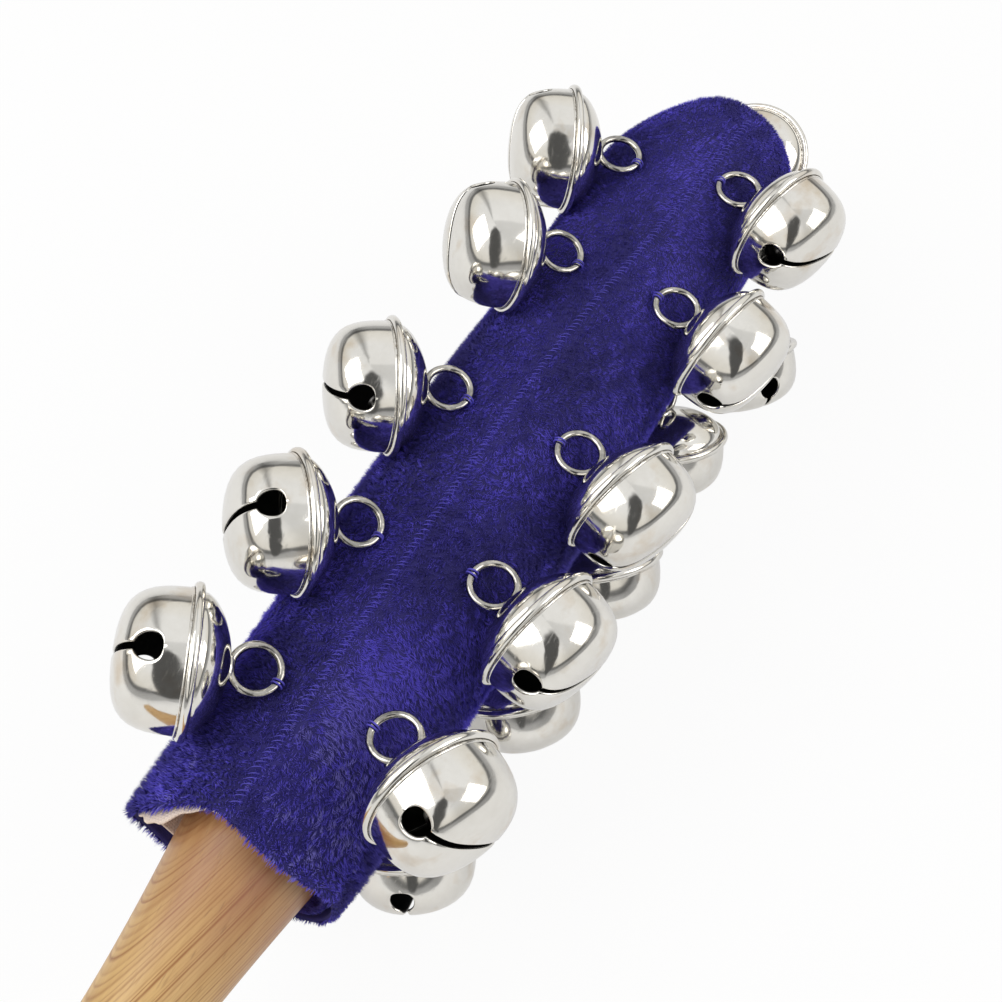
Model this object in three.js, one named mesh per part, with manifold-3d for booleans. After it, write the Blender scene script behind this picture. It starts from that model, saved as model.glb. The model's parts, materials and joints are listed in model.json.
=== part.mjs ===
// Hand-held sleigh bells: a turned wooden stick in a velvet sleeve, with crotal bells sewn on in rows.
// Millimetres. +X runs along the stick from the flat butt to the tip, +Z is up, and the origin is
// the centre of the butt face. The stick is level, and its lower bells hang down and towards the butt.
import * as THREE from 'three';
import { mergeVertices } from 'three/addons/utils/BufferGeometryUtils.js';
import Module from 'manifold-3d';

const wasm = await Module();
wasm.setup();

// Stick
const HANDLE_LENGTH = 108.5;
const BUTT_FACE_RADIUS = 6.5;
const BUTT_RADIUS = 10.4;
const BUTT_SWELL_AT = 13;
const NECK_RADIUS = 8.1;
const NECK_AT = 68;
const CORE_RADIUS = 16.9;
const FLARE_IN_SLEEVE = 49.5;

// Sleeve and lining
const SLEEVE_LENGTH = 186;
const VELVET_THICKNESS = 1.3;
const LINING_THICKNESS = 0.7;
const LINING_SETBACK = 1.6;
const TIP_ROUND = 11;
const MOUTH_FLARE = 0.5;
const MOUTH_FLARE_LENGTH = 26;
const MOUTH_WAVE = 0.35;
const MOUTH_WAVE_COUNT = 5;
const MOUTH_SLANT = 2.6;
const TIP_SLANT = 2.4;
const TIP_SLANT_LENGTH = 40;
const CLEARANCE = 0.3;

// Bell
const RIM_RADIUS = 12.6;
const RIM_THICKNESS = 1.5;
const CUP_RADIUS = 11.6;
const CUP_DEPTH = 11.8;
const DOME_RADIUS = 11.1;
const DOME_HEIGHT = 5.4;
const SHELL_WALL = 0.65;
const SLOT_WIDTH = 1.7;
const SLOT_HOLE_RADIUS = 2.3;
const SLOT_HOLE_DEPTH = 6.2;
const CUP_FULLNESS = 0.8;
const CUP_TURN = 0.2;
const DOME_FULLNESS = 0.8;
const RING_RADIUS = 4.05;
const RING_WIRE_RADIUS = 0.65;
const RING_SINK = 0.5;
const PELLET_RADIUS = 2.6;
const PELLET_BELOW_RIM = 2;
const PELLET_REACH = 6.3;
const PELLET_DROP = 5.8;

// Thread ties
const TIE_THREAD_RADIUS = 0.35;
const TIE_CLEARANCE = 0.35;

// Rows. Angles turn from straight up towards -Y. Stations count from the tip, and a gap is the free
// length between neighbouring rims. Lean turns a bell towards the butt, spin turns its slot.
const TIP_TO_FIRST_RIM = 17.5;
const UPPER_LEFT = {
  name: 'upper_left', setback: 2.4, gaps: [4.6, 12.4, 7.0, 5.6], azimuth: [-18, -11, -18, -14, -12],
  swing: [-80, -68, -75, -66, -72], lean: [31, 36, 36, 40, 29], spin: [47, 36, 130, 90, 98],
};
const UPPER_RIGHT = {
  name: 'upper_right', setback: -2.8, gaps: [7.0, 13.5, 5.6, 6.4], azimuth: [28, 35, 34, 34, 35],
  swing: [96, 101, 100, 98, 87], lean: [19, 13, 19, 17, 26], spin: [20, 174, 166, 26, 54],
};
const LOWER_RIGHT = {
  name: 'lower_right', setback: -3.9, gaps: [1.0, 8.2, 7.9, 10.1], azimuth: [138, 144, 145, 150, 151],
  swing: [142, 157, 148, 147, 151], lean: [27, 24, 29, 26, 36], spin: [64, 165, 165, 165, 32],
};
const LOWER_LEFT = {
  name: 'lower_left', setback: -1.6, gaps: [2.8, 8.8, 7.8, 8.8], azimuth: [-120, -121, -119, -122, -120],
  swing: [-180, -178, -181, -177, -179], lean: [25, 28, 24, 27, 26], spin: [20, 75, 130, 40, 100],
};
const TIP_BELL = { name: 'tip', y: -4, z: 1, droop: 52, spin: 0 };

// Facets
const STICK_SIDES = 20;
const BELL_SIDES = 12;
const RING_STEPS = 10;
const WIRE_SIDES = 4;
const TIE_STEPS = 6;
const HOLE_SIDES = 6;
const CURVE_STEPS = 5;
const ROUND_STEPS = 3;
const CUP_STEPS = 3;
const HOLLOW_STEPS = 2;
const HEM_RINGS = 3;
const PELLET_SIDES = 6;
const PELLET_RINGS = 4;

// Derived sizes
const LINING_INNER = CORE_RADIUS + CLEARANCE;
const LINING_OUTER = LINING_INNER + LINING_THICKNESS;
const SLEEVE_INNER = LINING_OUTER + CLEARANCE;
const SLEEVE_OUTER = SLEEVE_INNER + VELVET_THICKNESS;
const MOUTH_X = HANDLE_LENGTH;
const TIP_X = MOUTH_X + SLEEVE_LENGTH;
const SEAT = CLEARANCE + RING_WIRE_RADIUS;
const HINGE_RADIUS = SLEEVE_OUTER + SEAT;
const CROWN_Z = -(RING_RADIUS + RING_WIRE_RADIUS - RING_SINK);
const RIM_Z = CROWN_Z - DOME_HEIGHT - RIM_THICKNESS / 2;
const TIE_RADIUS = RING_WIRE_RADIUS + TIE_CLEARANCE + TIE_THREAD_RADIUS;
const X_AXIS = new THREE.Vector3(1, 0, 0);
const Y_AXIS = new THREE.Vector3(0, 1, 0);
const DOWN = new THREE.Vector3(0, 0, -1);
const radians = THREE.MathUtils.degToRad;

// Materials
const look = (color, roughness, metalness) => new THREE.MeshStandardMaterial({ color, roughness, metalness });
const WOOD = look(0xbe9764, 0.55, 0);
const BACKING = look(0xc9b596, 0.95, 0);
const VELVET = look(0x2a2478, 0.9, 0);
const NICKEL = look(0xc7c2b9, 0.15, 1);
const STEEL = look(0x8a8a88, 0.4, 1);

// Merges shared points and drops the empty triangles at a revolve's poles.
function weld(geometry) {
  const bare = new THREE.BufferGeometry();
  bare.setAttribute('position', geometry.attributes.position);
  bare.setIndex(geometry.index);
  const merged = mergeVertices(bare, 1e-4);
  const index = merged.index.array;
  const kept = [];
  for (let i = 0; i < index.length; i += 3) {
    const [a, b, c] = index.slice(i, i + 3);
    if (a !== b && b !== c && c !== a) kept.push(a, b, c);
  }
  merged.setIndex(kept);
  return merged;
}

function toSolid(geometry) {
  const welded = weld(geometry);
  const vertProperties = new Float32Array(welded.attributes.position.array);
  const triVerts = new Uint32Array(welded.index.array);
  return new wasm.Manifold(new wasm.Mesh({ numProp: 3, vertProperties, triVerts }));
}

function fromSolid(body) {
  const { vertProperties, triVerts } = body.getMesh();
  const geometry = new THREE.BufferGeometry();
  geometry.setAttribute('position', new THREE.BufferAttribute(vertProperties, 3));
  geometry.setIndex(new THREE.BufferAttribute(triVerts, 1));
  return geometry;
}

function makeMesh(name, geometry, material) {
  geometry.computeVertexNormals();
  const mesh = new THREE.Mesh(geometry, material);
  mesh.name = name;
  return mesh;
}

// Revolves a path of (radius, height) points, with the height turned to +X or to +Z.
const revolveAlongX = (path, sides) => weld(new THREE.LatheGeometry(path, sides).rotateZ(-Math.PI / 2));
const revolveAlongZ = (path, sides) => weld(new THREE.LatheGeometry(path, sides).rotateX(Math.PI / 2));

// Stick: a flat butt, a swelling grip, a thin neck, then a flare into the thick core in the sleeve
function buildStick() {
  const flareEnd = MOUTH_X + FLARE_IN_SLEEVE;
  const coreEnd = TIP_X - VELVET_THICKNESS - LINING_THICKNESS - 2 * CLEARANCE;
  const coreRound = TIP_ROUND - VELVET_THICKNESS - LINING_THICKNESS;
  const gripHandle = (NECK_AT - BUTT_SWELL_AT) / 3;
  const flareHandle = (flareEnd - NECK_AT) / 3;
  const outline = new THREE.Path();
  outline.moveTo(0, 0);
  outline.lineTo(BUTT_FACE_RADIUS, 0);
  outline.quadraticCurveTo(BUTT_RADIUS, 0, BUTT_RADIUS, BUTT_SWELL_AT);
  outline.bezierCurveTo(
    BUTT_RADIUS, BUTT_SWELL_AT + gripHandle, NECK_RADIUS, NECK_AT - gripHandle, NECK_RADIUS, NECK_AT,
  );
  outline.bezierCurveTo(
    NECK_RADIUS, NECK_AT + flareHandle, CORE_RADIUS, flareEnd - flareHandle, CORE_RADIUS, flareEnd,
  );
  outline.lineTo(CORE_RADIUS, coreEnd - coreRound);
  outline.quadraticCurveTo(CORE_RADIUS, coreEnd, CORE_RADIUS - coreRound, coreEnd);
  outline.lineTo(0, coreEnd);
  const turned = slantTip(revolveAlongX(outline.getPoints(CURVE_STEPS), STICK_SIDES));
  return makeMesh('wooden_stick', turned, WOOD);
}

// Opens the cloth towards the mouth, in shallow waves round a hem that is cut a little aslant.
function flareMouth(geometry) {
  const points = geometry.attributes.position;
  for (let i = 0; i < points.count; i += 1) {
    const along = (points.getX(i) - MOUTH_X) / MOUTH_FLARE_LENGTH;
    const share = 1 - THREE.MathUtils.smoothstep(along, 0, 1);
    const radius = Math.hypot(points.getY(i), points.getZ(i));
    if (share > 0 && radius > 0) {
      const turn = Math.atan2(points.getY(i), points.getZ(i));
      const wave = MOUTH_WAVE * Math.cos(MOUTH_WAVE_COUNT * turn);
      const grow = 1 + (share * (MOUTH_FLARE + wave)) / radius;
      const slant = (share * MOUTH_SLANT * (1 - points.getY(i) / SLEEVE_OUTER)) / 2;
      points.setX(i, points.getX(i) + slant);
      points.setY(i, points.getY(i) * grow);
      points.setZ(i, points.getZ(i) * grow);
    }
  }
  return geometry;
}

// The closed end is sewn a little aslant, so it stands further out towards -Y.
const tipShift = (y) => (-TIP_SLANT * y) / SLEEVE_OUTER;

function slantTip(geometry) {
  const points = geometry.attributes.position;
  const start = TIP_X - TIP_SLANT_LENGTH;
  for (let i = 0; i < points.count; i += 1) {
    const share = THREE.MathUtils.smoothstep(points.getX(i), start, TIP_X);
    points.setX(i, points.getX(i) + share * tipShift(points.getY(i)));
  }
  return geometry;
}

// A cloth tube from its open mouth to its closed round tip
function clothTube(inner, thickness, mouthX, tipX, tipRound) {
  const outer = inner + thickness;
  const innerTip = tipX - thickness;
  const innerRound = tipRound - thickness;
  const outline = new THREE.Path();
  outline.moveTo(0, innerTip);
  outline.lineTo(inner - innerRound, innerTip);
  outline.quadraticCurveTo(inner, innerTip, inner, innerTip - innerRound);
  const hemStep = MOUTH_FLARE_LENGTH / HEM_RINGS;
  for (let i = HEM_RINGS; i >= 0; i -= 1) {
    outline.lineTo(inner, mouthX + hemStep * i);
  }
  for (let i = 0; i <= HEM_RINGS; i += 1) {
    outline.lineTo(outer, mouthX + hemStep * i);
  }
  outline.lineTo(outer, tipX - tipRound);
  outline.quadraticCurveTo(outer, tipX, outer - tipRound, tipX);
  outline.lineTo(0, tipX);
  return slantTip(flareMouth(revolveAlongX(outline.getPoints(ROUND_STEPS), STICK_SIDES)));
}

function buildLining() {
  const tipX = TIP_X - VELVET_THICKNESS - CLEARANCE;
  const tipRound = TIP_ROUND - VELVET_THICKNESS;
  const tube = clothTube(LINING_INNER, LINING_THICKNESS, MOUTH_X + LINING_SETBACK, tipX, tipRound);
  return makeMesh('sleeve_lining', tube, BACKING);
}

// The sleeve carries one loop of thread round each bell's ring.
function buildSleeve(bells) {
  let sleeve = toSolid(clothTube(SLEEVE_INNER, VELVET_THICKNESS, MOUTH_X, TIP_X, TIP_ROUND));
  for (const bell of bells) {
    const tie = new THREE.TorusGeometry(TIE_RADIUS, TIE_THREAD_RADIUS, WIRE_SIDES, TIE_STEPS);
    const turn = new THREE.Quaternion().setFromUnitVectors(new THREE.Vector3(0, 0, 1), bell.hingeAxis);
    tie.applyQuaternion(turn).translate(...bell.hinge.toArray());
    sleeve = sleeve.add(toSolid(tie));
  }
  return makeMesh('velvet_sleeve', fromSolid(sleeve), VELVET);
}

// Where a bell hangs: its hinge on the ring's wire, the way the ring points, and the bell's own axes
function placeBell(name, hinge, hingeAxis, out, lean, spin) {
  const fall = out.clone().multiplyScalar(Math.cos(lean)).addScaledVector(hingeAxis, -Math.sin(lean));
  const ringNormal = new THREE.Vector3().crossVectors(hingeAxis, out);
  const up = fall.clone().negate();
  const across = new THREE.Vector3().crossVectors(ringNormal, up);
  const origin = hinge.clone().addScaledVector(out, RING_RADIUS);
  const frame = new THREE.Matrix4().makeBasis(across, ringNormal, up).setPosition(origin);
  return { name, hinge, hingeAxis, frame, spin };
}

// The direction at an angle from straight up towards -Y
const around = (angle) => new THREE.Vector3(0, -Math.sin(angle), Math.cos(angle));

function rowOfBells(row) {
  const bells = [];
  let x = TIP_X - TIP_TO_FIRST_RIM - RIM_RADIUS - row.setback;
  row.lean.forEach((leanDegrees, i) => {
    const lean = radians(leanDegrees);
    const out = around(radians(row.swing[i]));
    const hinge = around(radians(row.azimuth[i])).multiplyScalar(HINGE_RADIUS).setX(x);
    bells.push(placeBell(`${row.name}_${i + 1}`, hinge, X_AXIS, out, lean, radians(row.spin[i])));
    x -= 2 * RIM_RADIUS + row.gaps[i];
  });
  return bells;
}

function tipBell() {
  const droop = radians(TIP_BELL.droop);
  const hinge = new THREE.Vector3(TIP_X + tipShift(TIP_BELL.y) + SEAT, TIP_BELL.y, TIP_BELL.z);
  const out = new THREE.Vector3(Math.cos(droop), 0, -Math.sin(droop));
  return placeBell(TIP_BELL.name, hinge, Y_AXIS, out, 0, radians(TIP_BELL.spin));
}

// Bell shell: a domed top cup crimped in the rolled rim of a deeper lower cup with a keyhole slot
function bellShell() {
  const rimTop = RIM_Z + RIM_THICKNESS / 2;
  const rimBottom = RIM_Z - RIM_THICKNESS / 2;
  const pole = RIM_Z - CUP_DEPTH;
  const outside = new THREE.Path();
  outside.moveTo(0, pole);
  const turnZ = pole + CUP_DEPTH * CUP_TURN;
  outside.bezierCurveTo(CUP_RADIUS * CUP_FULLNESS, pole, CUP_RADIUS, turnZ, CUP_RADIUS, rimBottom);
  outside.lineTo(RIM_RADIUS, RIM_Z - RIM_THICKNESS / 4);
  outside.lineTo(RIM_RADIUS, RIM_Z + RIM_THICKNESS / 4);
  outside.lineTo(DOME_RADIUS, rimTop);
  outside.quadraticCurveTo(DOME_RADIUS * DOME_FULLNESS, CROWN_Z, 0, CROWN_Z);
  const cupInner = CUP_RADIUS - SHELL_WALL;
  const poleInner = pole + SHELL_WALL;
  const crownInner = CROWN_Z - SHELL_WALL;
  const inside = new THREE.Path();
  inside.moveTo(0, poleInner);
  inside.bezierCurveTo(cupInner * CUP_FULLNESS, poleInner, cupInner, turnZ, cupInner, RIM_Z);
  inside.quadraticCurveTo(cupInner * DOME_FULLNESS, crownInner, 0, crownInner);
  const holeZ = RIM_Z - SLOT_HOLE_DEPTH;
  const slotLength = 2 * RIM_RADIUS;
  const slotDrop = CUP_DEPTH;
  const slot = new THREE.BoxGeometry(slotLength, SLOT_WIDTH, slotDrop).translate(0, 0, holeZ - slotDrop / 2);
  const holes = new THREE.CylinderGeometry(SLOT_HOLE_RADIUS, SLOT_HOLE_RADIUS, slotLength, HOLE_SIDES);
  holes.rotateZ(Math.PI / 2).translate(0, 0, holeZ);
  const shell = toSolid(revolveAlongZ(outside.getPoints(CUP_STEPS), BELL_SIDES));
  const hollow = toSolid(revolveAlongZ(inside.getPoints(HOLLOW_STEPS), BELL_SIDES));
  return fromSolid(shell.subtract(hollow).subtract(toSolid(slot).add(toSolid(holes))));
}

function buildBell(bell, shell) {
  const ring = new THREE.TorusGeometry(RING_RADIUS, RING_WIRE_RADIUS, WIRE_SIDES, RING_STEPS);
  const body = toSolid(shell.clone().rotateZ(bell.spin)).add(toSolid(ring.rotateX(Math.PI / 2)));
  return makeMesh(`bell_${bell.name}`, fromSolid(body), NICKEL);
}

// The loose pellet lies at the lowest side of its hollow.
function buildPellet(bell) {
  const fall = DOWN.clone().transformDirection(bell.frame.clone().invert());
  const ball = weld(new THREE.SphereGeometry(PELLET_RADIUS, PELLET_SIDES, PELLET_RINGS));
  const mesh = makeMesh(`pellet_${bell.name}`, ball, STEEL);
  const along = RIM_Z - PELLET_BELOW_RIM + fall.z * PELLET_DROP;
  mesh.position.set(fall.x * PELLET_REACH, fall.y * PELLET_REACH, along);
  return mesh;
}

const bells = [UPPER_LEFT, UPPER_RIGHT, LOWER_RIGHT, LOWER_LEFT].flatMap(rowOfBells);
bells.push(tipBell());

const sleighBells = new THREE.Group();
sleighBells.add(buildStick(), buildLining(), buildSleeve(bells));
const shell = bellShell();
for (const bell of bells) {
  const hung = new THREE.Group();
  hung.applyMatrix4(bell.frame);
  hung.add(buildBell(bell, shell), buildPellet(bell));
  sleighBells.add(hung);
}

export default sleighBells;
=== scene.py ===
"""A hand-held sleigh bell stick: a turned wooden handle, a velvet sleeve and crotal bells on wire loops."""

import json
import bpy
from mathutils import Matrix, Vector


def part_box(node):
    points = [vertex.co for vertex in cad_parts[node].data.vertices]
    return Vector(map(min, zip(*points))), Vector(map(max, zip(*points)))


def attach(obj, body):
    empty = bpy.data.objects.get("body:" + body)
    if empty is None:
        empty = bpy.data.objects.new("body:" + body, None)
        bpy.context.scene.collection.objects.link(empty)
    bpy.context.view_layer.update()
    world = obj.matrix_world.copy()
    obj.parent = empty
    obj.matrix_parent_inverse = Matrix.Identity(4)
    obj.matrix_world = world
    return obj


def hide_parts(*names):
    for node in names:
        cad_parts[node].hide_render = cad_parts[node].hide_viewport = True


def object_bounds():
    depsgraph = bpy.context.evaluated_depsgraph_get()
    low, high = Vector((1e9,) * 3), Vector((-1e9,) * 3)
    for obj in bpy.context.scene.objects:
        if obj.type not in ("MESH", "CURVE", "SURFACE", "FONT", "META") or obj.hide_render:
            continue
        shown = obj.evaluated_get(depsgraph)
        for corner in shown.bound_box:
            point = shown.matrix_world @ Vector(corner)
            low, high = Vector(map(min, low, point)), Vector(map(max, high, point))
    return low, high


bl_info = {
    "name": "Sleigh Bell Stick",
    "version": (1, 0, 0),
    "blender": (4, 5, 0),
    "location": "View3D > Sidebar > Sleigh Bells",
    "description": "Builds a bell stick with a turned handle, a velvet sleeve and slotted nickel bells",
    "category": "Add Mesh",
}

import bmesh
import bpy
import numpy as np
from bpy.props import FloatProperty, FloatVectorProperty, IntProperty, PointerProperty
from mathutils import Vector

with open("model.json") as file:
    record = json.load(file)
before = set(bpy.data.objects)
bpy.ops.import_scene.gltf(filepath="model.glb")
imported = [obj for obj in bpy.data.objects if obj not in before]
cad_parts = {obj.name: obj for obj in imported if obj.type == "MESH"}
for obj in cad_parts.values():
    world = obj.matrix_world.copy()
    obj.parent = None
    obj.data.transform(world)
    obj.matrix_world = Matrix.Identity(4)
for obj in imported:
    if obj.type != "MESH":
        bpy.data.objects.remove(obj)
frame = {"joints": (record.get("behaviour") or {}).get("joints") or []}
cad_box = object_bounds()

# Turn of each bell's slot about its own axis, in degrees, from the stick's tip to the sleeve's mouth
SLOT_TURNS = {
    "upper_left": (47, 36, 130, 90, 98),
    "upper_right": (20, 174, 166, 26, 54),
    "lower_right": (64, 165, 165, 165, 32),
    "lower_left": (20, 75, 130, 40, 100),
}
TIP_SLOT_TURN = 0
STICK_BODY = "stick"

# Points closer than this are merged
CLOSE = 1e-7

# Points round the stick, the cloths, a bell's top, the foot of its loop and a pellet
STICK_SIDES = 96
CLOTH_SIDES = 128
CROWN_SIDES = 72
FOOT_SIDES = 28
PELLET_SIDES = 24

# Points along a cloth's section: closed end, outer bend, straight part, hem and inner bend
END_ROWS = 8
BEND_ROWS = 14
CLOTH_ROWS = 130
HEM_ROWS = 8
INNER_BEND_ROWS = 10

# Where the bare handle starts to run into line with the sleeve, and over what length
SHIFT_FROM = 0.115
SHIFT_EASE = 0.05

# Seam: turn at the mouth and drift in degrees, the shares of the sleeve before and during the drift, and
# the sunk line with a ridge on each side
SEAM_START = 3
SEAM_DRIFT = 20
SEAM_STRAIGHT = 0.45
SEAM_DRIFTING = 0.55
SEAM_DEPTH = 0.00045
SEAM_WIDTH = 0.0008
RIDGE_HEIGHT = 0.00022
RIDGE_AT = 0.0019
RIDGE_WIDTH = 0.0009

# Closed tip: how far below the axis the crown starts, how far beside it the fold starts, and their lengths
CROWN_BELOW = 0.004
CROWN_EASE = 0.012
FOLD_BESIDE = 0.0006
FOLD_EASE = 0.022

# Gap between the closed tips of the velvet and of the lining
LINING_GAP = 0.0003

# Hem: extra length all round, curves of (extra length, turn, width) in metres and radians, and waves round it
HEM_LONGER = 0.0010
HEM_CURVES = ((0.0016, -1.05, 0.50), (0.0011, 0.75, 0.45), (-0.0015, -0.15, 0.35))
HEM_WAVES = 5

# Edge of the lining that shows: turn and width in radians, and the length over which it is drawn out
PEEK_TURN = -0.62
PEEK_WIDTH = 0.62
PEEK_EASE = 0.012

# Ragged edge of the lining: waves of (share, number round, phase)
RAGGED = ((0.12, 9, 0), (0.10, 23, 1))

# Turned-in velvet: turn of its middle and reach to each side in degrees, one in how many tufts it has, and
# where it starts and how softly it ends on the lining
TURNED_SIDE = 125
TURNED_REACH = 110
TURNED_PART = 40
TURNED_EDGE = 0.35
TURNED_EASE = 0.2
TURNED_FROM = 0.4

# Sewn spots, and the radius below which the cloth isn't moved in or out
PUCKER_DEPTH = 0.0003
PUCKER_WIDTH = 0.0022
NEAR_AXIS = 0.001

# Fields that wander over the cloth: seed, number of waves, fastest rate along it, most turns round it
RIPPLE = (5, 14, 95, 5)
BRUSHED = (21, 26, 150, 6)
SWIRL = (22, 20, 110, 4)
FINE = (23, 40, 1300, 26)
WANDER = (24, 14, 800, 24)
RIPPLE_HEIGHT = 0.00011

# Pile: rows of the section it grows from and of its hem, number of pieces, step for the cloth's slope,
# depth of the roots, least and most radius of a tuft, and the parting at the seam
PILE_ROWS = 60
PILE_HEM_ROWS = 6
PILE_PIECES = 6
SLOPE_STEP = 0.0004
ROOT_DEPTH = 0.00008
TUFT_RADIUS = (0.00005, 0.00009)
PARTING_WIDTH = 0.0013
PARTING_EASE = 0.006

# Clumps: rows of cells before they repeat, how far their edges wander round and along, and how far the
# tufts gather
CLUMP_ROWS = 200
CLUMP_WANDER = (0.35, 0.25)
CLUMP_GATHER = 0.40

# Heading in radians, tilt in degrees and tone of the pile: usual value, then the shares of the fields, of the
# clump and of the single tuft
PILE_HEADING = (0.5, 0.75, 0.40, 0.30)
PILE_TILT = (34, 15, 9, 7)
PILE_TONE = (0.45, 0.23, 0.13, 0.13, 0.08)

# Least and most tilt in radians, and tone
TILT_LIMITS = (0.05, 1.25)
TONE_LIMITS = (0.02, 0.98)

# Share of the pile's way at which the hem starts, its length, and how much more upright its tufts stand
HEM_FROM = 0.955
HEM_SHARE = 0.045
HEM_UPRIGHT = 0.6

# Length of the tufts: least share and range, then how much shorter they are at the seam, at the hem, on the
# turned-in side and away from the mouth, with the start and length of that last change
TUFT_LEAST = 0.78
TUFT_RANGE = 0.5
SEAM_SHORTER = 0.35
HEM_SHORTER = 0.15
TURNED_SHORTER = 0.50
FAR_SHORTER = 0.35
FAR_FROM = 0.05
FAR_EASE = 0.10

# Tones: where the mouth's stretch ends and how softly, how much paler it is, how much paler and how rare its
# dusty tufts are, the palest tone, what the mouth may add to that, and how much paler the seam is
MOUTH_STRETCH = 0.010
MOUTH_EASE = 0.030
MOUTH_PALER = 0.10
DUST_PALER = 0.45
DUST_RARE = 0.95
PALEST = 0.80
PALEST_MOUTH = 0.18
SEAM_PALER = 0.20

# Stitches: first and last distance from the sleeve's ends, gap, unevenness along and round, half their length
# along and across the seam, radius, height of the arch and depth of its ends
STITCH_START = 0.004
STITCH_END = 0.008
STITCH_GAP = 0.0010
STITCH_UNEVEN = 0.00012
STITCH_WANDER = 0.006
STITCH_SLANT = 0.0006
STITCH_HALF = 0.0011
STITCH_RADIUS = 0.00008
STITCH_ARCH = 0.0007
STITCH_DEPTH = 0.0003

# Thread rings that tie a loop: radius and its range, thickness, shift from the middle and spread of the tilt
TIE_RADIUS = 0.00086
TIE_RANGE = 0.0002
TIE_THICK = 0.00016
TIE_SHIFT = 0.0003
TIE_TILT = (0.14, 0.08)

# Bells: waves round the rim and their size, the flat of the loop, and the staple's section, stretch and place
RIM_WAVES = (2, 3, 5, 9, 14)
RIM_RISE = 0.00006
RIM_BULGE = 0.00005
LOOP_FLAT = 0.0001
FOOT_PROFILE = (
    (0, 0.0007),
    (0.0007, 0.00068),
    (0.00105, 0.0005),
    (0.0012, 0.0002),
    (0.00125, -0.0004),
    (0, -0.0004),
)
FOOT_STRETCH = (1.9, 0.95, 1.0)
FOOT_RISE = 0.00045

# Half the floor's width, its points along a side, and the point the lamps look at
FLOOR_HALF = 2.0
FLOOR_POINTS = 9
LAMP_AIM = (0.19, 0, 0)

# Room that the metal mirrors: colours by height, and greys by the share of a turn
WALLS = (
    (0.0, (0.50, 0.50, 0.50)),
    (0.10, (0.44, 0.44, 0.44)),
    (0.17, (0.15, 0.15, 0.15)),
    (0.23, (0.22, 0.22, 0.22)),
    (0.27, (0.88, 0.85, 0.79)),
    (0.60, (0.98, 0.965, 0.935)),
    (0.75, (1.0, 1.0, 1.0)),
)
STRIPS = (
    (0.0, 1.0),
    (0.15, 1.0),
    (0.19, 0.78),
    (0.34, 0.82),
    (0.36, 1.0),
    (0.60, 1.0),
    (0.63, 0.42),
    (0.66, 0.95),
    (1.0, 1.0),
)


def colour(name, description, default):
    """A colour that a user can change."""
    return FloatVectorProperty(
        name=name, description=description, default=default, size=3, min=0, max=1, subtype="COLOR"
    )


def length(name, description, default):
    """A size in metres that a user can change."""
    return FloatProperty(
        name=name, description=description, default=default, min=0, unit="LENGTH", precision=5
    )


class HandleSettings(bpy.types.PropertyGroup):
    """Sizes and colours of the turned wooden stick"""

    butt_face: length("Butt face", "Radius of the flat at the end of the grip", 0.0065)
    butt: length("Butt", "Largest radius of the grip", 0.0104)
    swell_at: length("Swell", "Distance of the grip's largest radius from its end", 0.013)
    neck: length("Neck", "Smallest radius, between the grip and the sleeve", 0.0081)
    neck_at: length("Neck distance", "Distance of the neck from the end of the grip", 0.068)
    core: length("Core", "Radius of the wood under the sleeve", 0.0169)
    core_from: length("Core start", "Distance at which the flare reaches the core", 0.158)
    core_end: length("Core end", "Distance of the wood's far end", 0.2919)
    core_round: length("Core rounding", "Rounding of the wood's far end", 0.0125)
    beside: length("Handle shift", "How far the bare handle stands beside the sleeve's axis", 0.0010)
    ring_gap: length("Growth rings", "Distance between the growth rings", 0.00055)
    pith: length("Pith", "Distance of the rings' middle from the stick's axis, to the side and up", 0.026)
    # Near the sleeve's mouth the wood is darkened and reddened: partly a reddish tint, partly painted shade
    # that the sleeve casts on it. These two set where that starts and where it is strongest.
    rub_shade_from: length("Rubbing start", "Distance at which the sleeve starts to rub the wood", 0.078)
    rub_shade_to: length("Rubbing end", "Distance at which the wood is rubbed the most", 0.112)
    early_wood: colour("Early wood", "Pale part of each growth ring", (0.690, 0.462, 0.188))
    late_wood: colour("Late wood", "Dark line of each growth ring", (0.310, 0.136, 0.040))
    pore: colour("Pores", "Short dark lines along the grain", (0.225, 0.110, 0.045))
    # Colour of that stretch by the mouth: reddish wood with painted shade from the sleeve.
    rubbed_shaded_wood: colour("Rubbed wood", "Darker wood where the sleeve rubs", (0.270, 0.085, 0.040))


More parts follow.
